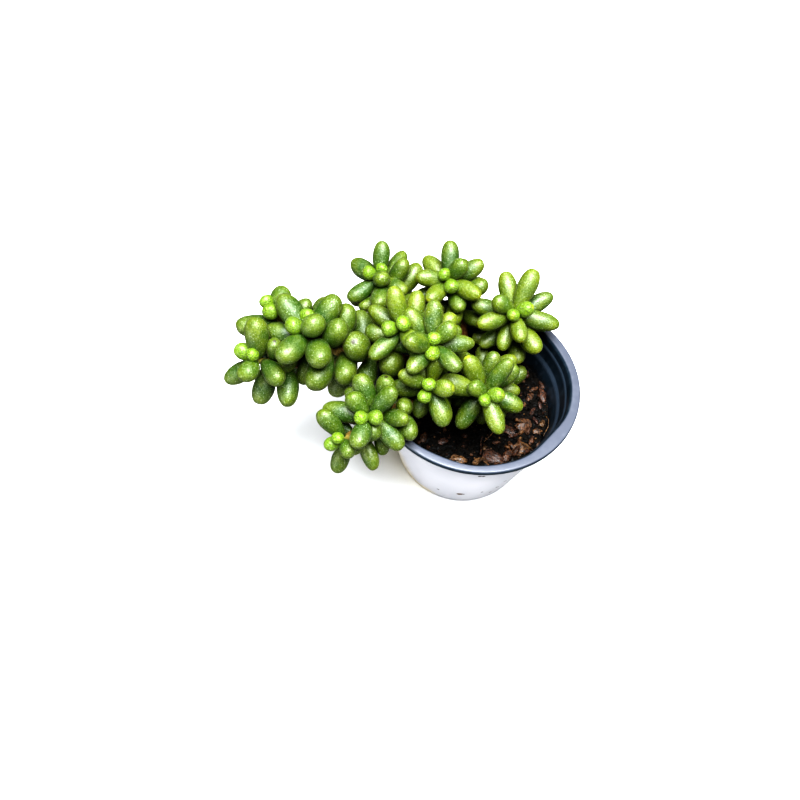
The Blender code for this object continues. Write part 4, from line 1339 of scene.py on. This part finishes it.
def make_twigs(tree, wood):
    lines = []
    tones = []
    for places, radius, tone in TWIGS:
        raw = np.array(places)
        share = np.linspace(0.0, len(raw) - 1.0, TWIG_POINTS)
        smooth = np.array([np.interp(share, range(len(raw)), raw[:, k]) for k in range(3)]).T * MM
        on_soil = [(x, y, soil_rise(x, y) + z) for x, y, z in smooth]
        lines.append((on_soil, np.full(TWIG_POINTS, radius * MM), np.zeros(TWIG_POINTS)))
        tones += [tone] * TWIG_POINTS
    mesh = line_mesh(lines)
    give(mesh, "tone", tones)
    made = grown("twigs", mesh, tree, {
        "Sides": TWIG_SIDES, "Knobs": TWIG_KNOBS, "Size": TWIG_KNOB_SIZE, "Skin": wood})
    return piece(made, "soil")


# Studio

def make_floor(paper):
    mesh = bpy.data.meshes.new("floor")
    bm = bmesh.new()
    bmesh.ops.create_grid(bm, x_segments=1, y_segments=1, size=FLOOR_HALF)
    bm.to_mesh(mesh)
    bm.free()
    mesh.materials.append(paper)
    made = placed("floor", mesh)
    made.visible_glossy = False


def soft_box(name, place, size, power, tint):
    lamp = bpy.data.lights.new(name, "AREA")
    lamp.shape = "DISK"
    lamp.size = size
    lamp.energy = power
    lamp.color = tint
    made = placed(name, lamp)
    made.location = place
    made.rotation_euler = (Vector(LIT_POINT) - Vector(place)).to_track_quat("-Z", "Y").to_euler()


def make_camera():
    camera = bpy.data.cameras.new("camera")
    camera.sensor_width = CAMERA_SENSOR
    camera.lens = CAMERA_LENS
    camera.clip_start = 0.01
    camera.clip_end = 20.0
    made = placed("camera", camera)
    right = Vector(CAMERA_RIGHT)
    up = Vector(CAMERA_UP)
    turn = Matrix((right, up, right.cross(up))).transposed().to_4x4()
    made.matrix_world = Matrix.Translation(CAMERA_PLACE) @ turn
    bpy.context.scene.camera = made


def make_studio():
    make_floor(floor_paper())
    for name, lamp in SOFT_BOXES.items():
        soft_box(name, *lamp)
    world = bpy.data.worlds.new("studio")
    world.use_nodes = True
    background = world.node_tree.nodes["Background"].inputs
    background["Color"].default_value = colour(WHITE)
    background["Strength"].default_value = WORLD_LIGHT
    bpy.context.scene.world = world
    bpy.context.scene.view_settings.view_transform = "Standard"
    bpy.context.scene.view_settings.look = "Very High Contrast"
    make_camera()


def build():
    leaves = lay_out()
    make_studio()
    make_cover_pot(white_glaze())
    make_nursery_pot(dark_plastic())
    earth = soil_earth()
    wood = bark_wood()
    stems = round_stems()
    soil = make_soil(earth)
    crumbs = soil_crumbs()
    make_crumbs("soil_crumbs", soil, crumbs, CRUMBS, earth)
    make_crumbs("bark_bits", soil, crumbs, BARK_BITS, wood)
    rng = np.random.default_rng(SEED + 1)
    make_chips(wood)
    make_twigs(stems, wood)
    beans = bean_leaves()
    skin = leaf_skin()
    bark = stem_bark()
    for group in sorted({shoot.group for shoot in SHOOTS}):
        own = [leaf for leaf in leaves if leaf.group == group]
        make_leaves(group, own, beans, skin, rng)
        make_stem(group, stems, bark)


build()

bpy.context.view_layer.update()
